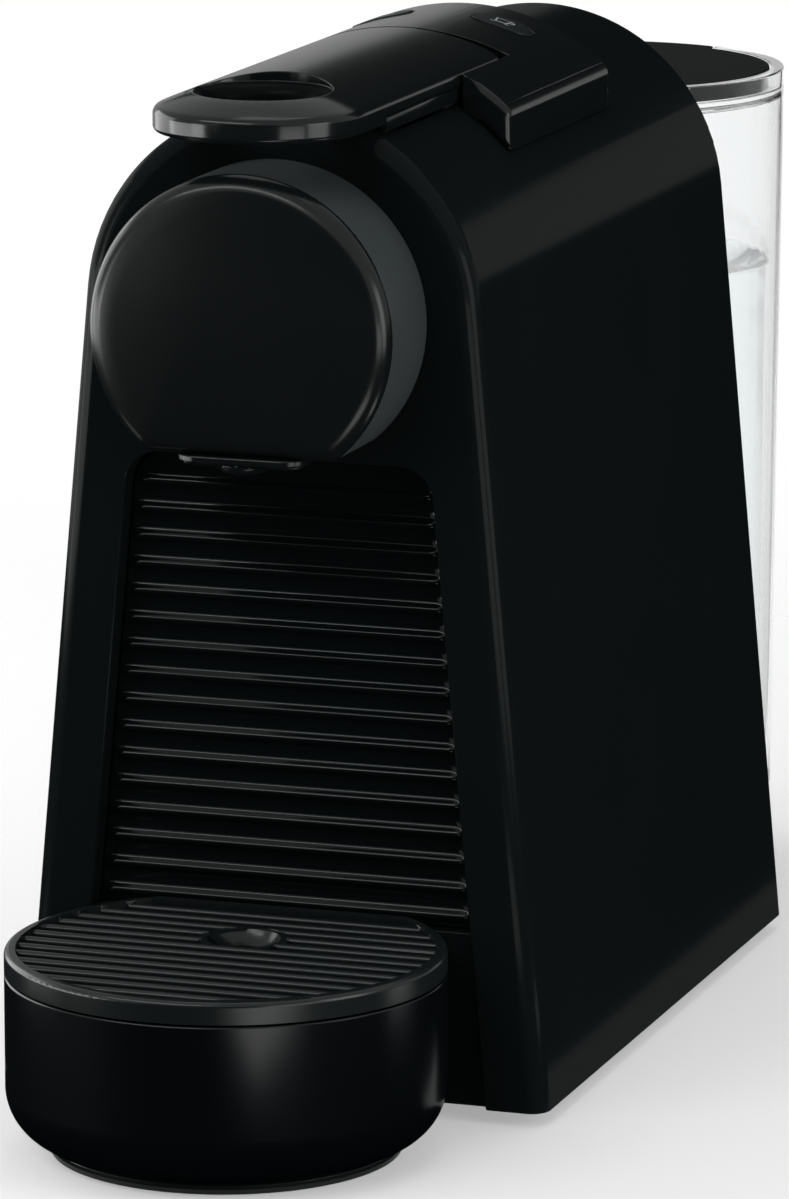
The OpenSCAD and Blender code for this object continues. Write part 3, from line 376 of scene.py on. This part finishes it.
def in_drip_dish(corners):
    within = all(hypot(p.x, p.y - tray_y) < dish_r for p in corners)
    return within and min(p.z for p in corners) < grid_top - dish_drop


def in_finger_hole(corners):
    return all(hypot(p.x, p.y - nose_y) < hole_r for p in corners)


# The dish and the finger hole take the darker black, which paints the shade in these hollows.
polish("cup_grid", grid_black, 0, inner=(recess_shade_black, in_drip_dish))
polish("lever_handle", gloss_black, 0.2 * mm, fat=(on_lever_rim, 1.1 * mm), inner=(recess_shade_black, in_finger_hole))
polish("bridge_cover", gloss_black, 0.2 * mm, fat=(on_block_wing, 1.6 * mm))

# %% [markdown]
# The lever's sides end a few millimetres above the shell. A slim skirt under each side closes that gap, so
# no one looks past the lever into the pod slot. It rides on the lever, just clear of the shell.

# %% Skirts under the lever's sides
shell_gap, skirt_head, skirt_thick = 0.6 * mm, 197.4 * mm, 1.3 * mm
skirt_outer = lever_half - 0.05 * mm
skirt_inner = skirt_outer - skirt_thick
skirt_foot = arch_z + sqrt(arch_r ** 2 - skirt_inner ** 2) + shell_gap
skirt_front, skirt_back = front_y + 4.4 * mm, front_y + 48.4 * mm
box_faces = [(0, 1, 3, 2), (4, 6, 7, 5), (0, 4, 5, 1), (2, 3, 7, 6), (0, 2, 6, 4), (1, 5, 7, 3)]
for side, name in ((-1, "lever_skirt_left"), (1, "lever_skirt_right")):
    work = bmesh.new()
    corners = [work.verts.new((side * x, y, z)) for x in (skirt_inner, skirt_outer)
               for y in (skirt_front, skirt_back) for z in (skirt_foot, skirt_head)]
    for face in box_faces:
        work.faces.new([corners[i] for i in face])
    bmesh.ops.recalc_face_normals(work, faces=work.faces)
    bmesh.ops.bevel(work, geom=work.edges[:], offset=0.3 * mm, segments=2, profile=0.5, affect="EDGES")
    skirt = piece_from(name, work, gloss_black, smooth=40)
    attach(skirt, body_of["lever_handle"])
print("skirts from", skirt_foot, "to", skirt_head)

# %% [markdown]
# ## Geometry Nodes
# A Geometry Nodes tree is a recipe of small steps. Writing every step by hand in Python is long, so two
# helpers do the typing: one adds a node and fills its inputs, the other adds a Math node.

# %% Helpers for node trees
def add(tree, kind, inputs=None, **settings):
    node = tree.nodes.new(kind)
    for key, value in settings.items():
        setattr(node, key, value)
    for key, value in (inputs or {}).items():
        if isinstance(value, bpy.types.NodeSocket):
            tree.links.new(value, node.inputs[key])
        else:
            node.inputs[key].default_value = value
    return node


def calc(tree, operation, *values):
    return add(tree, "ShaderNodeMath", dict(enumerate(values)), operation=operation).outputs[0]


def new_tree(name, numbers=(), objects=()):
    tree = bpy.data.node_groups.new(name, "GeometryNodeTree")
    for label in numbers:
        tree.interface.new_socket(label, in_out="INPUT", socket_type="NodeSocketFloat")
    for label in objects:
        tree.interface.new_socket(label, in_out="INPUT", socket_type="NodeSocketObject")
    tree.interface.new_socket("Material", in_out="INPUT", socket_type="NodeSocketMaterial")
    tree.interface.new_socket("Geometry", in_out="OUTPUT", socket_type="NodeSocketGeometry")
    return tree, tree.nodes.new("NodeGroupInput").outputs


def close_tree(tree, geometry, material):
    real = add(tree, "GeometryNodeRealizeInstances", {"Geometry": geometry})
    painted = add(tree, "GeometryNodeSetMaterial", {"Geometry": real.outputs[0], "Material": material})
    tree.links.new(painted.outputs[0], tree.nodes.new("NodeGroupOutput").inputs[0])


def bake(name, tree, values):
    """Run a tree on an empty mesh, and keep its result as a plain mesh."""
    maker = place_piece(name + "_maker", bpy.data.meshes.new(name + "_maker"))
    modifier = maker.modifiers.new("recipe", "NODES")
    modifier.node_group = tree
    for item in tree.interface.items_tree:
        if item.in_out == "INPUT" and item.name in values:
            modifier[item.identifier] = values[item.name]
    mesh = bpy.data.meshes.new_from_object(maker.evaluated_get(bpy.context.evaluated_depsgraph_get()))
    maker.modifiers.remove(modifier)
    bpy.data.objects.remove(maker)
    mesh.name = name
    print(name, "faces", len(mesh.polygons))
    return place_piece(name, mesh)


print("helpers ready")

# %% [markdown]
# ## Ribbed front panel
# The panel's ribs follow a rule: a narrow crest every few millimetres, with a shallow hollow between two
# crests. We start from a finely divided box, and one Set Position step moves each point of its front by a
# cosine of its height. The rows of points lean in with the body's sides, and round off at the top corners.

# %% Recipe for the ribbed panel
crest_start, crest_power = 0.2, 1.2
flat_edge, full_edge = 0.3 * mm, 1.6 * mm


def ribbed_panel_tree():
    tree, given = new_tree("ribbed_panel", [
        "Foot", "Head", "Foot half width", "Head half width", "Corner", "Pitch", "Top rib", "Rib", "Hollow", "Face",
        "Thickness",
    ])
    box = add(tree, "GeometryNodeMeshCube", {"Vertices X": 35, "Vertices Y": 2, "Vertices Z": 231})
    place = add(tree, "ShaderNodeSeparateXYZ", {0: add(tree, "GeometryNodeInputPosition").outputs[0]})
    across, depth, up = place.outputs
    share = calc(tree, "ADD", up, 0.5)
    z = calc(tree, "MULTIPLY_ADD", share, calc(tree, "SUBTRACT", given["Head"], given["Foot"]), given["Foot"])
    # Half width: a straight lean, and a quarter circle at the top corners
    wide = calc(tree, "SUBTRACT", given["Head half width"], given["Foot half width"])
    straight = calc(tree, "MULTIPLY_ADD", share, wide, given["Foot half width"])
    above = calc(tree, "SUBTRACT", z, calc(tree, "SUBTRACT", given["Head"], given["Corner"]))
    drop = calc(tree, "POWER", calc(tree, "MAXIMUM", above, 0.0), 2.0)
    left = calc(tree, "SUBTRACT", calc(tree, "POWER", given["Corner"], 2.0), drop)
    round_part = calc(tree, "SQRT", calc(tree, "MAXIMUM", left, 0.0))
    cut = calc(tree, "SUBTRACT", given["Corner"], round_part)
    half = calc(tree, "SUBTRACT", straight, cut)
    # Points crowd towards the sides, where the ribs run out
    swing = calc(tree, "SINE", calc(tree, "MULTIPLY", across, pi))
    x = calc(tree, "MULTIPLY", swing, half)
    from_side = calc(tree, "SUBTRACT", half, calc(tree, "ABSOLUTE", x))
    run_out = add(tree, "ShaderNodeMapRange", {"Value": from_side, "From Min": flat_edge, "From Max": full_edge},
                  interpolation_type="SMOOTHSTEP")
    # Crest and hollow
    below = calc(tree, "SUBTRACT", given["Top rib"], z)
    turns = calc(tree, "DIVIDE", below, given["Pitch"])
    wave = calc(tree, "COSINE", calc(tree, "MULTIPLY", turns, 2 * pi))
    peak = calc(tree, "DIVIDE", calc(tree, "SUBTRACT", wave, crest_start), 1 - crest_start)
    peak = calc(tree, "POWER", calc(tree, "MAXIMUM", peak, 0.0), crest_power)
    in_rows = calc(tree, "GREATER_THAN", turns, -0.5)
    crest = calc(tree, "MULTIPLY", calc(tree, "MULTIPLY", peak, in_rows), given["Rib"])
    dip = calc(tree, "SUBTRACT", 0.5, calc(tree, "MULTIPLY", wave, 0.5))
    hollow = calc(tree, "MULTIPLY", dip, given["Hollow"])
    hollow = calc(tree, "MULTIPLY", hollow, calc(tree, "GREATER_THAN", turns, 0.0))
    relief = calc(tree, "MULTIPLY", calc(tree, "SUBTRACT", hollow, crest), run_out.outputs[0])
    front = calc(tree, "SUBTRACT", 0.5, depth)
    flat = calc(tree, "MULTIPLY_ADD", calc(tree, "ADD", depth, 0.5), given["Thickness"], given["Face"])
    y = calc(tree, "MULTIPLY_ADD", relief, front, flat)
    moved = add(tree, "GeometryNodeSetPosition", {
        "Geometry": box.outputs["Mesh"],
        "Position": add(tree, "ShaderNodeCombineXYZ", {0: x, 1: y, 2: z}).outputs[0],
    })
    close_tree(tree, moved.outputs[0], given["Material"])
    return tree


panel_low, panel_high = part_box("front_panel")
rib_height, rib_pitch, hollow_depth = 0.9 * mm, 5.55 * mm, 0.45 * mm
flank, panel_corner = 12.6 * mm, 6.6 * mm
panel_foot, panel_head = panel_low[2], panel_high[2]
first_rib, plain_ends = 2.2 * mm, 6.1 * mm
rib_rows = int((panel_head - panel_foot - plain_ends) / rib_pitch + 0.0001) + 1
panel = bake("front_panel_ribbed", ribbed_panel_tree(), {
    "Foot": panel_foot, "Head": panel_head, "Foot half width": half_width(panel_foot, flank),
    "Head half width": half_width(panel_head, flank), "Corner": panel_corner, "Pitch": rib_pitch,
    "Top rib": panel_foot + first_rib + (rib_rows - 1) * rib_pitch, "Rib": rib_height, "Hollow": hollow_depth,
    "Face": panel_low[1] + rib_height, "Thickness": panel_high[1] - panel_low[1] - rib_height,
    "Material": ribbed_black,
})
panel.data.shade_smooth()
panel.data.set_sharp_from_angle(angle=radians(50))
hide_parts("front_panel")
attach(panel, body_of["front_panel"])
print("ribs", rib_rows)

# %% [markdown]
# ## Screws in the rear
# Four screws hold the rear cover. Each has a low domed head with a six-lobed recess. One screw is built
# from rings: the recess ring swells six times around, and because all rings have as many points, plain
# quads join them. The tree then puts a copy on each point of a small guide mesh.

# %% One screw from rings
def loft(name, rings, material):
    """Join rings of as many points each by quads, and close the two ends."""
    work = bmesh.new()
    rows = [[work.verts.new(point) for point in ring] for ring in rings]
    count = len(rows[0])
    for one, other in zip(rows, rows[1:]):
        for i in range(count):
            j = (i + 1) % count
            work.faces.new((one[i], one[j], other[j], other[i]))
    work.faces.new(rows[0])
    work.faces.new(rows[-1])
    return piece_from(name, work, material, smooth=40)


def screw_ring(radius, y, lobes=0.0):
    steps, lobe_count = 36, 6
    points = []
    for i in range(steps):
        a = 2 * pi * i / steps
        r = radius + lobes * cos(lobe_count * a)
        points.append((r * cos(a), y, r * sin(a)))
    return points


head_r, shank_r = 3 * mm, 1.5 * mm
screw = loft("one_screw", [
    screw_ring(shank_r, -7.8 * mm), screw_ring(shank_r, -1.4 * mm), screw_ring(head_r, -1.4 * mm),
    screw_ring(head_r, -0.7 * mm), screw_ring(head_r - 0.35 * mm, -0.2 * mm), screw_ring(1.9 * mm, 0),
    screw_ring(1.35 * mm, 0, 0.22 * mm), screw_ring(1.25 * mm, -0.9 * mm, 0.2 * mm),
], zinc_dark)
print("screw points", len(screw.data.vertices))

# %% Put a screw on each point
def copies_tree():
    tree, given = new_tree("copies_on_points", objects=["Guide", "Piece"])
    guide = add(tree, "GeometryNodeObjectInfo", {"Object": given["Guide"]})
    piece = add(tree, "GeometryNodeObjectInfo", {"Object": given["Piece"]})
    spots = add(tree, "GeometryNodeMeshToPoints", {"Mesh": guide.outputs["Geometry"]})
    copies = add(tree, "GeometryNodeInstanceOnPoints",
                 {"Points": spots.outputs[0], "Instance": piece.outputs["Geometry"]})
    close_tree(tree, copies.outputs[0], given["Material"])
    return tree


screw_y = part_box("case_screws")[1][1]
upper_screw, lower_screw = (22 * mm, arch_z + 25.6 * mm), (42 * mm, 30 * mm)
guide_mesh = bpy.data.meshes.new("screw_guide")
guide_mesh.from_pydata([(side * x, screw_y, z) for side in (-1, 1) for x, z in (upper_screw, lower_screw)], [], [])
guide = place_piece("screw_guide", guide_mesh)
screws = bake("rear_screws", copies_tree(), {"Guide": guide, "Piece": screw, "Material": zinc_dark})
for helper in (guide, screw):
    bpy.data.objects.remove(helper)
screws.data.set_sharp_from_angle(angle=radians(40))
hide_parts("case_screws")
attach(screws, body_of["case_screws"])

# %% [markdown]
# ## Face of the outlet head
# The head's front cap is slightly domed, and a broad soft edge runs round it. A flat face would reflect one
# even tone; the dome shades from the rim to the middle. Its outline is a circle that is cut flat below, so
# we build the outline at many insets and loft from ring to ring.

# %% Outline of the head
head_radius, head_flat, head_corner = 30.6 * mm, 23.9 * mm, 4 * mm


def head_ring(inset, y):
    corner_steps, round_steps = 8, 84
    r, flat = head_radius - inset, head_flat - inset
    corner = min(head_corner, 0.7 * flat)
    x = sqrt((r - corner) ** 2 - (flat - corner) ** 2)
    start = atan2(corner - flat, x)
    corner_turns = [-pi / 2 + (start + pi / 2) * i / corner_steps for i in range(corner_steps)]
    round_turns = [start + (pi - 2 * start) * i / round_steps for i in range(round_steps + 1)]
    points = [(x + corner * cos(a), corner - flat + corner * sin(a)) for a in corner_turns]
    points += [(r * cos(a), r * sin(a)) for a in round_turns]
    points += [(-px, pz) for px, pz in points[corner_steps - 1::-1]]
    return [(px, y, arch_z + pz) for px, pz in points]


cap_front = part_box("outlet_cap")[0][1]
cap_back = front_y - 21.3 * mm
cap_edge, cap_dome = 3.8 * mm, 1.3 * mm
back_edge = 1.9 * mm
dome_steps, dome_reach, dome_fall = 8, 19 * mm, 0.84
rings = [head_ring(back_edge, cap_back), head_ring(0, cap_back)]
for i in range(9):
    a = radians(10 * i)
    rings.append(head_ring(cap_edge * (1 - cos(a)), cap_front + cap_dome + cap_edge * (1 - sin(a))))
for i in range(1, dome_steps + 1):
    share = i / dome_steps
    rings.append(head_ring(cap_edge + share * dome_reach, cap_front + cap_dome * (1 - share * dome_fall) ** 2))
cap = loft("outlet_cap_domed", rings, head_black)
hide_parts("outlet_cap")
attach(cap, body_of["outlet_cap"])
print("cap faces", len(cap.data.polygons))

# %% [markdown]
# ## Pictograms on the keys
# Each key carries a plain cup: a small one and a taller one. They are printed lines, so we make flat ribbons
# that follow a path and lie a hair above the key, bent to its curved top.

# %% Cup pictograms
key_r = crown_r + 0.25 * mm
print_lift, print_root = 0.03 * mm, -0.1 * mm


def ribbon(work, path, width, closed=False):
    """A flat stroke along a path of (x, y) points, laid on the key's crown."""
    points = [Vector(p) for p in path]
    count = len(points)
    rows = []
    for i, point in enumerate(points):
        before = points[(i - 1) % count] if closed or i else point
        after = points[(i + 1) % count] if closed or i < count - 1 else point
        along = (after - before).normalized()
        side = Vector((-along.y, along.x)) * width / 2
        row = []
        for corner, height in ((point - side, print_lift), (point + side, print_lift),
                               (point + side, print_root), (point - side, print_root)):
            crown = key_r + height
            row.append(work.verts.new((corner.x, corner.y, arch_z + sqrt(crown ** 2 - corner.x ** 2))))
        rows.append(row)
    pairs = list(zip(rows, rows[1:])) + ([(rows[-1], rows[0])] if closed else [])
    for one, other in pairs:
        for i in range(4):
            j = (i + 1) % 4
            work.faces.new((one[i], other[i], other[j], one[j]))
    if not closed:
        work.faces.new(rows[0])
        work.faces.new(rows[-1])


def cup_pictogram(name, body, centre, width, height):
    work = bmesh.new()
    cx, cy = centre
    foot, top, low = 0.36 * width, 0.5 * width, cy - height / 2
    corner, cup_line, thin_line, saucer_drop = 0.25 * mm, 0.32 * mm, 0.28 * mm, 0.7 * mm
    turns = [i * pi / 8 for i in range(5)]
    right = [(foot - corner + corner * sin(a), low + corner - corner * cos(a)) for a in turns] + [(top, low + height)]
    outline = [(cx + x, y) for x, y in right] + [(cx - x, y) for x, y in reversed(right)]
    ribbon(work, outline, cup_line, closed=True)
    grip, grip_x, grip_y = 0.26 * height, cx + 0.47 * width, low + 0.62 * height
    turns = [radians(-75 + 15 * i) for i in range(11)]
    ribbon(work, [(grip_x + grip * cos(a) * 1.1, grip_y + grip * sin(a)) for a in turns], thin_line)
    saucer, saucer_y = 0.62 * width, low - saucer_drop
    ribbon(work, [(cx - saucer, saucer_y), (cx + saucer, saucer_y)], thin_line)
    piece = piece_from(name, work, pictogram_grey)
    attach(piece, body)


cup_width, cup_shift = 3.2 * mm, 0.3 * mm
for node, height in (("small_cup_button", 1.9 * mm), ("large_cup_button", 3.0 * mm)):
    low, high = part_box(node)
    middle = ((low[0] + high[0]) / 2, (low[1] + high[1]) / 2 + cup_shift)
    cup_pictogram(node + "_pictogram", body_of[node], middle, cup_width, height)
print("pictograms ready")

# %% [markdown]
# The pieces inside keep their CAD meshes. They only get the right finish, because their shapes are plain
# and they show only when the machine is open.

# %% Finishes for the pieces that stay as they are
finishes = {
    inner_grey: ["brew_frame", "lever_cams", "cage_carriage", "outlet_duct", "dock_pin", "valve_seat"],
    ground_steel: ["hinge_pin", "piercing_needles", "water_tube", "extraction_plate", "thermostats", "valve_spring"],
    cast_alloy: ["pod_cage", "thermoblock"],
    pump_brass: ["pump_barrel"],
    coil_red: ["pump_coil"],
    rubber_black: ["pump_mounts", "cord_gland"],
    meter_blue: ["flow_meter"],
    hose_grey: ["suction_hose", "pressure_hose"],
    board_green: ["control_board", "switch_board"],
    seal_orange: ["dock_seal"],
    poppet_red: ["valve_poppet"],
}
for material, names in finishes.items():
    for name in names:
        mesh = frame["nodes"][name].data
        mesh.materials.clear()
        mesh.materials.append(material)
print("finished", sum(len(v) for v in finishes.values()), "inner nodes")

# %% [markdown]
# ## Water in the tank
# Water is a solid of its own that fills the tank to its line. It must not share a face with the wall, or
# the renderer can't tell which one it meets first, so it stands off by a hair. A Spin would make it, but
# a list of rings is as short and leaves no seam. A Boolean cuts a little room in it, so that the valve's
# poppet, which stays behind when the tank is lifted, never touches the water.

# %% Water
def revolve(name, profile, centre, material, steps):
    """Turn a profile of (radius, height) points about an upright axis."""
    work = bmesh.new()
    rings = []
    turns = [2 * pi * i / steps for i in range(steps)]
    for r, z in profile:
        if r == 0:
            rings.append([work.verts.new((centre[0], centre[1], z))])
        else:
            rings.append([work.verts.new((centre[0] + r * cos(a), centre[1] + r * sin(a), z)) for a in turns])
    for low, high in zip(rings, rings[1:]):
        for i in range(steps):
            j = (i + 1) % steps
            if len(low) == 1:
                work.faces.new((low[0], high[j], high[i]))
            elif len(high) == 1:
                work.faces.new((low[i], low[j], high[0]))
            else:
                work.faces.new((low[i], low[j], high[j], high[i]))
    return piece_from(name, work, material, smooth=40)


floor_thick = 2.4 * mm
water_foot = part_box("water_tank")[0][2] + floor_thick + 0.1 * mm
water_top = 138 * mm
# The side stands off the wall, and a small rim climbs at the water's edge
water_profile = [
    (0, water_foot), (32.5 * mm, water_foot), (36.4 * mm, water_foot + 3.9 * mm),
    (37.2 * mm, water_top - 1 * mm), (37.7 * mm, water_top + 0.3 * mm), (36.8 * mm, water_top), (0, water_top),
]
water = revolve("water", water_profile, (0, tank_y), water_clear, 96)
valve_low, valve_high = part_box("valve_poppet")
valve_y = (valve_low[1] + valve_high[1]) / 2
room_r, room_foot, room_head = valve_high[0] + 0.25 * mm, valve_low[2] - 4 * mm, valve_high[2] + 0.6 * mm
room_profile = [(0, room_foot), (room_r, room_foot), (room_r, room_head), (0, room_head)]
valve_room = revolve("valve_room", room_profile, (0, valve_y), water_clear, 48)
cut = water.modifiers.new("room_for_valve", "BOOLEAN")
cut.operation, cut.solver, cut.object = "DIFFERENCE", "EXACT", valve_room
cut_mesh = bpy.data.meshes.new_from_object(water.evaluated_get(bpy.context.evaluated_depsgraph_get()))
water.modifiers.remove(cut)
water.data = cut_mesh
cut_mesh.set_sharp_from_angle(angle=radians(40))
bpy.data.objects.remove(valve_room)
print("water faces", len(cut_mesh.polygons))
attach(water, "tank")
print("water top at", water_top)

# %% [markdown]
# ## Stage and light
# A white floor fades into a white world, so there is no horizon line. The fade is in the floor's own
# material: towards its rim the floor turns transparent. Camera, glossy and transmitted rays see the
# world as white, and everything else gets a calmer light, so that the black plastic keeps its shape.

# %% Stage
def sheet(name, corners):
    """One flat face through some corners."""
    mesh = bpy.data.meshes.new(name)
    mesh.from_pydata(corners, [], [list(range(len(corners)))])
    return place_piece(name, mesh)


floor_r, floor_z, floor_steps = 1.6, -0.2 * mm, 96
turns = [2 * pi * i / floor_steps for i in range(floor_steps)]
floor = sheet("floor", [(floor_r * cos(a), floor_r * sin(a), floor_z) for a in turns])
material, nodes, links, shader = new_material("white_floor")
shader.inputs["Base Color"].default_value = (0.86, 0.86, 0.86, 1)
shader.inputs["Roughness"].default_value = 0.6
shader.inputs["Specular IOR Level"].default_value = 0.1
place = nodes.new("ShaderNodeTexCoord").outputs["Object"]
length = nodes.new("ShaderNodeVectorMath")
length.operation = "LENGTH"
links.new(place, length.inputs[0])
fade = nodes.new("ShaderNodeMapRange")
fade.interpolation_type = "SMOOTHSTEP"
fade.inputs["From Min"].default_value, fade.inputs["From Max"].default_value = 0.15, 0.6
fade.inputs["To Min"].default_value = 0.35
links.new(length.outputs["Value"], fade.inputs["Value"])
gone = nodes.new("ShaderNodeBsdfTransparent")
blend = nodes.new("ShaderNodeMixShader")
links.new(fade.outputs["Result"], blend.inputs["Fac"])
links.new(shader.outputs["BSDF"], blend.inputs[1])
links.new(gone.outputs["BSDF"], blend.inputs[2])
links.new(blend.outputs["Shader"], nodes["Material Output"].inputs["Surface"])
floor.data.materials.append(material)
print("floor ready")

# %% [markdown]
# Large lamps light the scene. The lamps named glow are seen by glossy rays alone: they draw a sheen where
# a surface needs one, but cast no light on the floor.

# %% World and lamps
world = bpy.data.worlds.new("studio")
scene.world = world
world.use_nodes = True
nodes, links = world.node_tree.nodes, world.node_tree.links
rays = nodes.new("ShaderNodeLightPath")


def any_of(one, other):
    """1 where either of two yes-or-no values is 1."""
    node = nodes.new("ShaderNodeMath")
    node.operation = "MAXIMUM"
    links.new(one, node.inputs[0])
    links.new(other, node.inputs[1])
    return node.outputs["Value"]


def white_light(strength):
    node = nodes.new("ShaderNodeBackground")
    node.inputs["Color"].default_value = (1, 1, 1, 1)
    node.inputs["Strength"].default_value = strength
    return node.outputs["Background"]


seen = any_of(rays.outputs["Is Camera Ray"], rays.outputs["Is Glossy Ray"])
seen_or_through = any_of(seen, rays.outputs["Is Transmission Ray"])
either = nodes.new("ShaderNodeMixShader")
links.new(seen_or_through, either.inputs["Fac"])
links.new(white_light(0.55), either.inputs[1])
links.new(white_light(1.0), either.inputs[2])
links.new(either.outputs["Shader"], nodes["World Output"].inputs["Surface"])


def lamp(name, place, target, size, glow, glossy_only=False):
    """An area lamp whose face glows at a given strength, where 1 is as bright as white paper."""
    data = bpy.data.lights.new(name, "AREA")
    data.shape = "RECTANGLE"
    data.size, data.size_y = size
    data.energy = glow * pi * size[0] * size[1]
    piece = place_piece(name, data)
    piece.location = place
    piece.rotation_euler = (Vector(target) - Vector(place)).to_track_quat("-Z", "Y").to_euler()
    piece.visible_camera = piece.visible_transmission = False
    piece.visible_diffuse = not glossy_only


def floor_glow(name, x, y, size, glow):
    """A glossy-only lamp that lies on the floor and looks up."""
    lamp(name, (x, y, glow_z), (x, y, 1), size, glow, True)


glow_z = 3 * mm
lamp("softbox_left", (-0.55, 0.1, 0.2), (0, 0, 0.15), (0.5, 0.36), 4.5)
lamp("softbox_above", (0.0, 0.1, 1.2), (0, 0, 0.1), (0.6, 0.6), 2)
lamp("strip_right", (0.6, -0.2, 0.18), (0, -0.1, 0.1), (0.26, 0.34), 5)
lamp("strip_high", (-0.4, -0.95, 1.0), (0, -0.1, 0.08), (1.2, 0.12), 12)
lamp("soft_left", (-0.75, -0.7, 0.14), (0, -0.1, 0.15), (0.25, 0.25), 4)
lamp("glow_side", (-0.6, -0.35, 0.06), (0, -0.13, 0.15), (0.6, 0.16), 9, True)
lamp("glow_corner", (0.5, -0.5, 0.06), (0, -0.13, 0.15), (0.3, 0.14), 5, True)
floor_glow("glow_front", 0.13, tray_y - 0.17, (0.12, 0.12), 4.5)
floor_glow("glow_right", 0.185, tray_y + 0.07, (0.06, 0.06), 4)
floor_glow("glow_left", -0.2, tray_y - 0.03, (0.07, 0.1), 1.2)
print("lamps ready")

# %% [markdown]
# Black plastic shows whatever stands around it. A photographer puts dark cards where a surface should stay
# deep black. Ours are seen by glossy rays alone: no camera, shadow or bounce light meets them.

# %% Dark cards
card_material, nodes, links, shader = new_material("dark_card")
shader.inputs["Base Color"].default_value = (0.004, 0.004, 0.004, 1)
shader.inputs["Roughness"].default_value = 1.0
shader.inputs["Specular IOR Level"].default_value = 0.0


def dark_card(name, corners):
    card = sheet(name, corners)
    card.data.materials.append(card_material)
    card.visible_camera = card.visible_diffuse = card.visible_transmission = False
    card.visible_shadow = card.visible_volume_scatter = False


def dark_floor(name, x0, x1, y0, y1):
    dark_card(name, [(x0, y0, card_z), (x1, y0, card_z), (x1, y1, card_z), (x0, y1, card_z)])


card_z = 1 * mm
dark_floor("card_right", 0.07, 3, -1.5, 5)
dark_floor("card_left", -1.4, -0.07, -1.5, 0.5)
dark_floor("card_before", -0.07, 0.07, -1.5, front_y)
dark_card("card_behind", [(-0.9, 1.5, 0.5), (1.4, 1.5, 0.42), (1.4, 1.5, 1.7), (-0.9, 1.5, 0.7)])
dark_card("card_front", [(-0.75, -1.6, 0), (1.2, -1.6, 0), (1.2, -1.6, 0.8), (-0.75, -1.6, 0.8)])
print("cards ready")
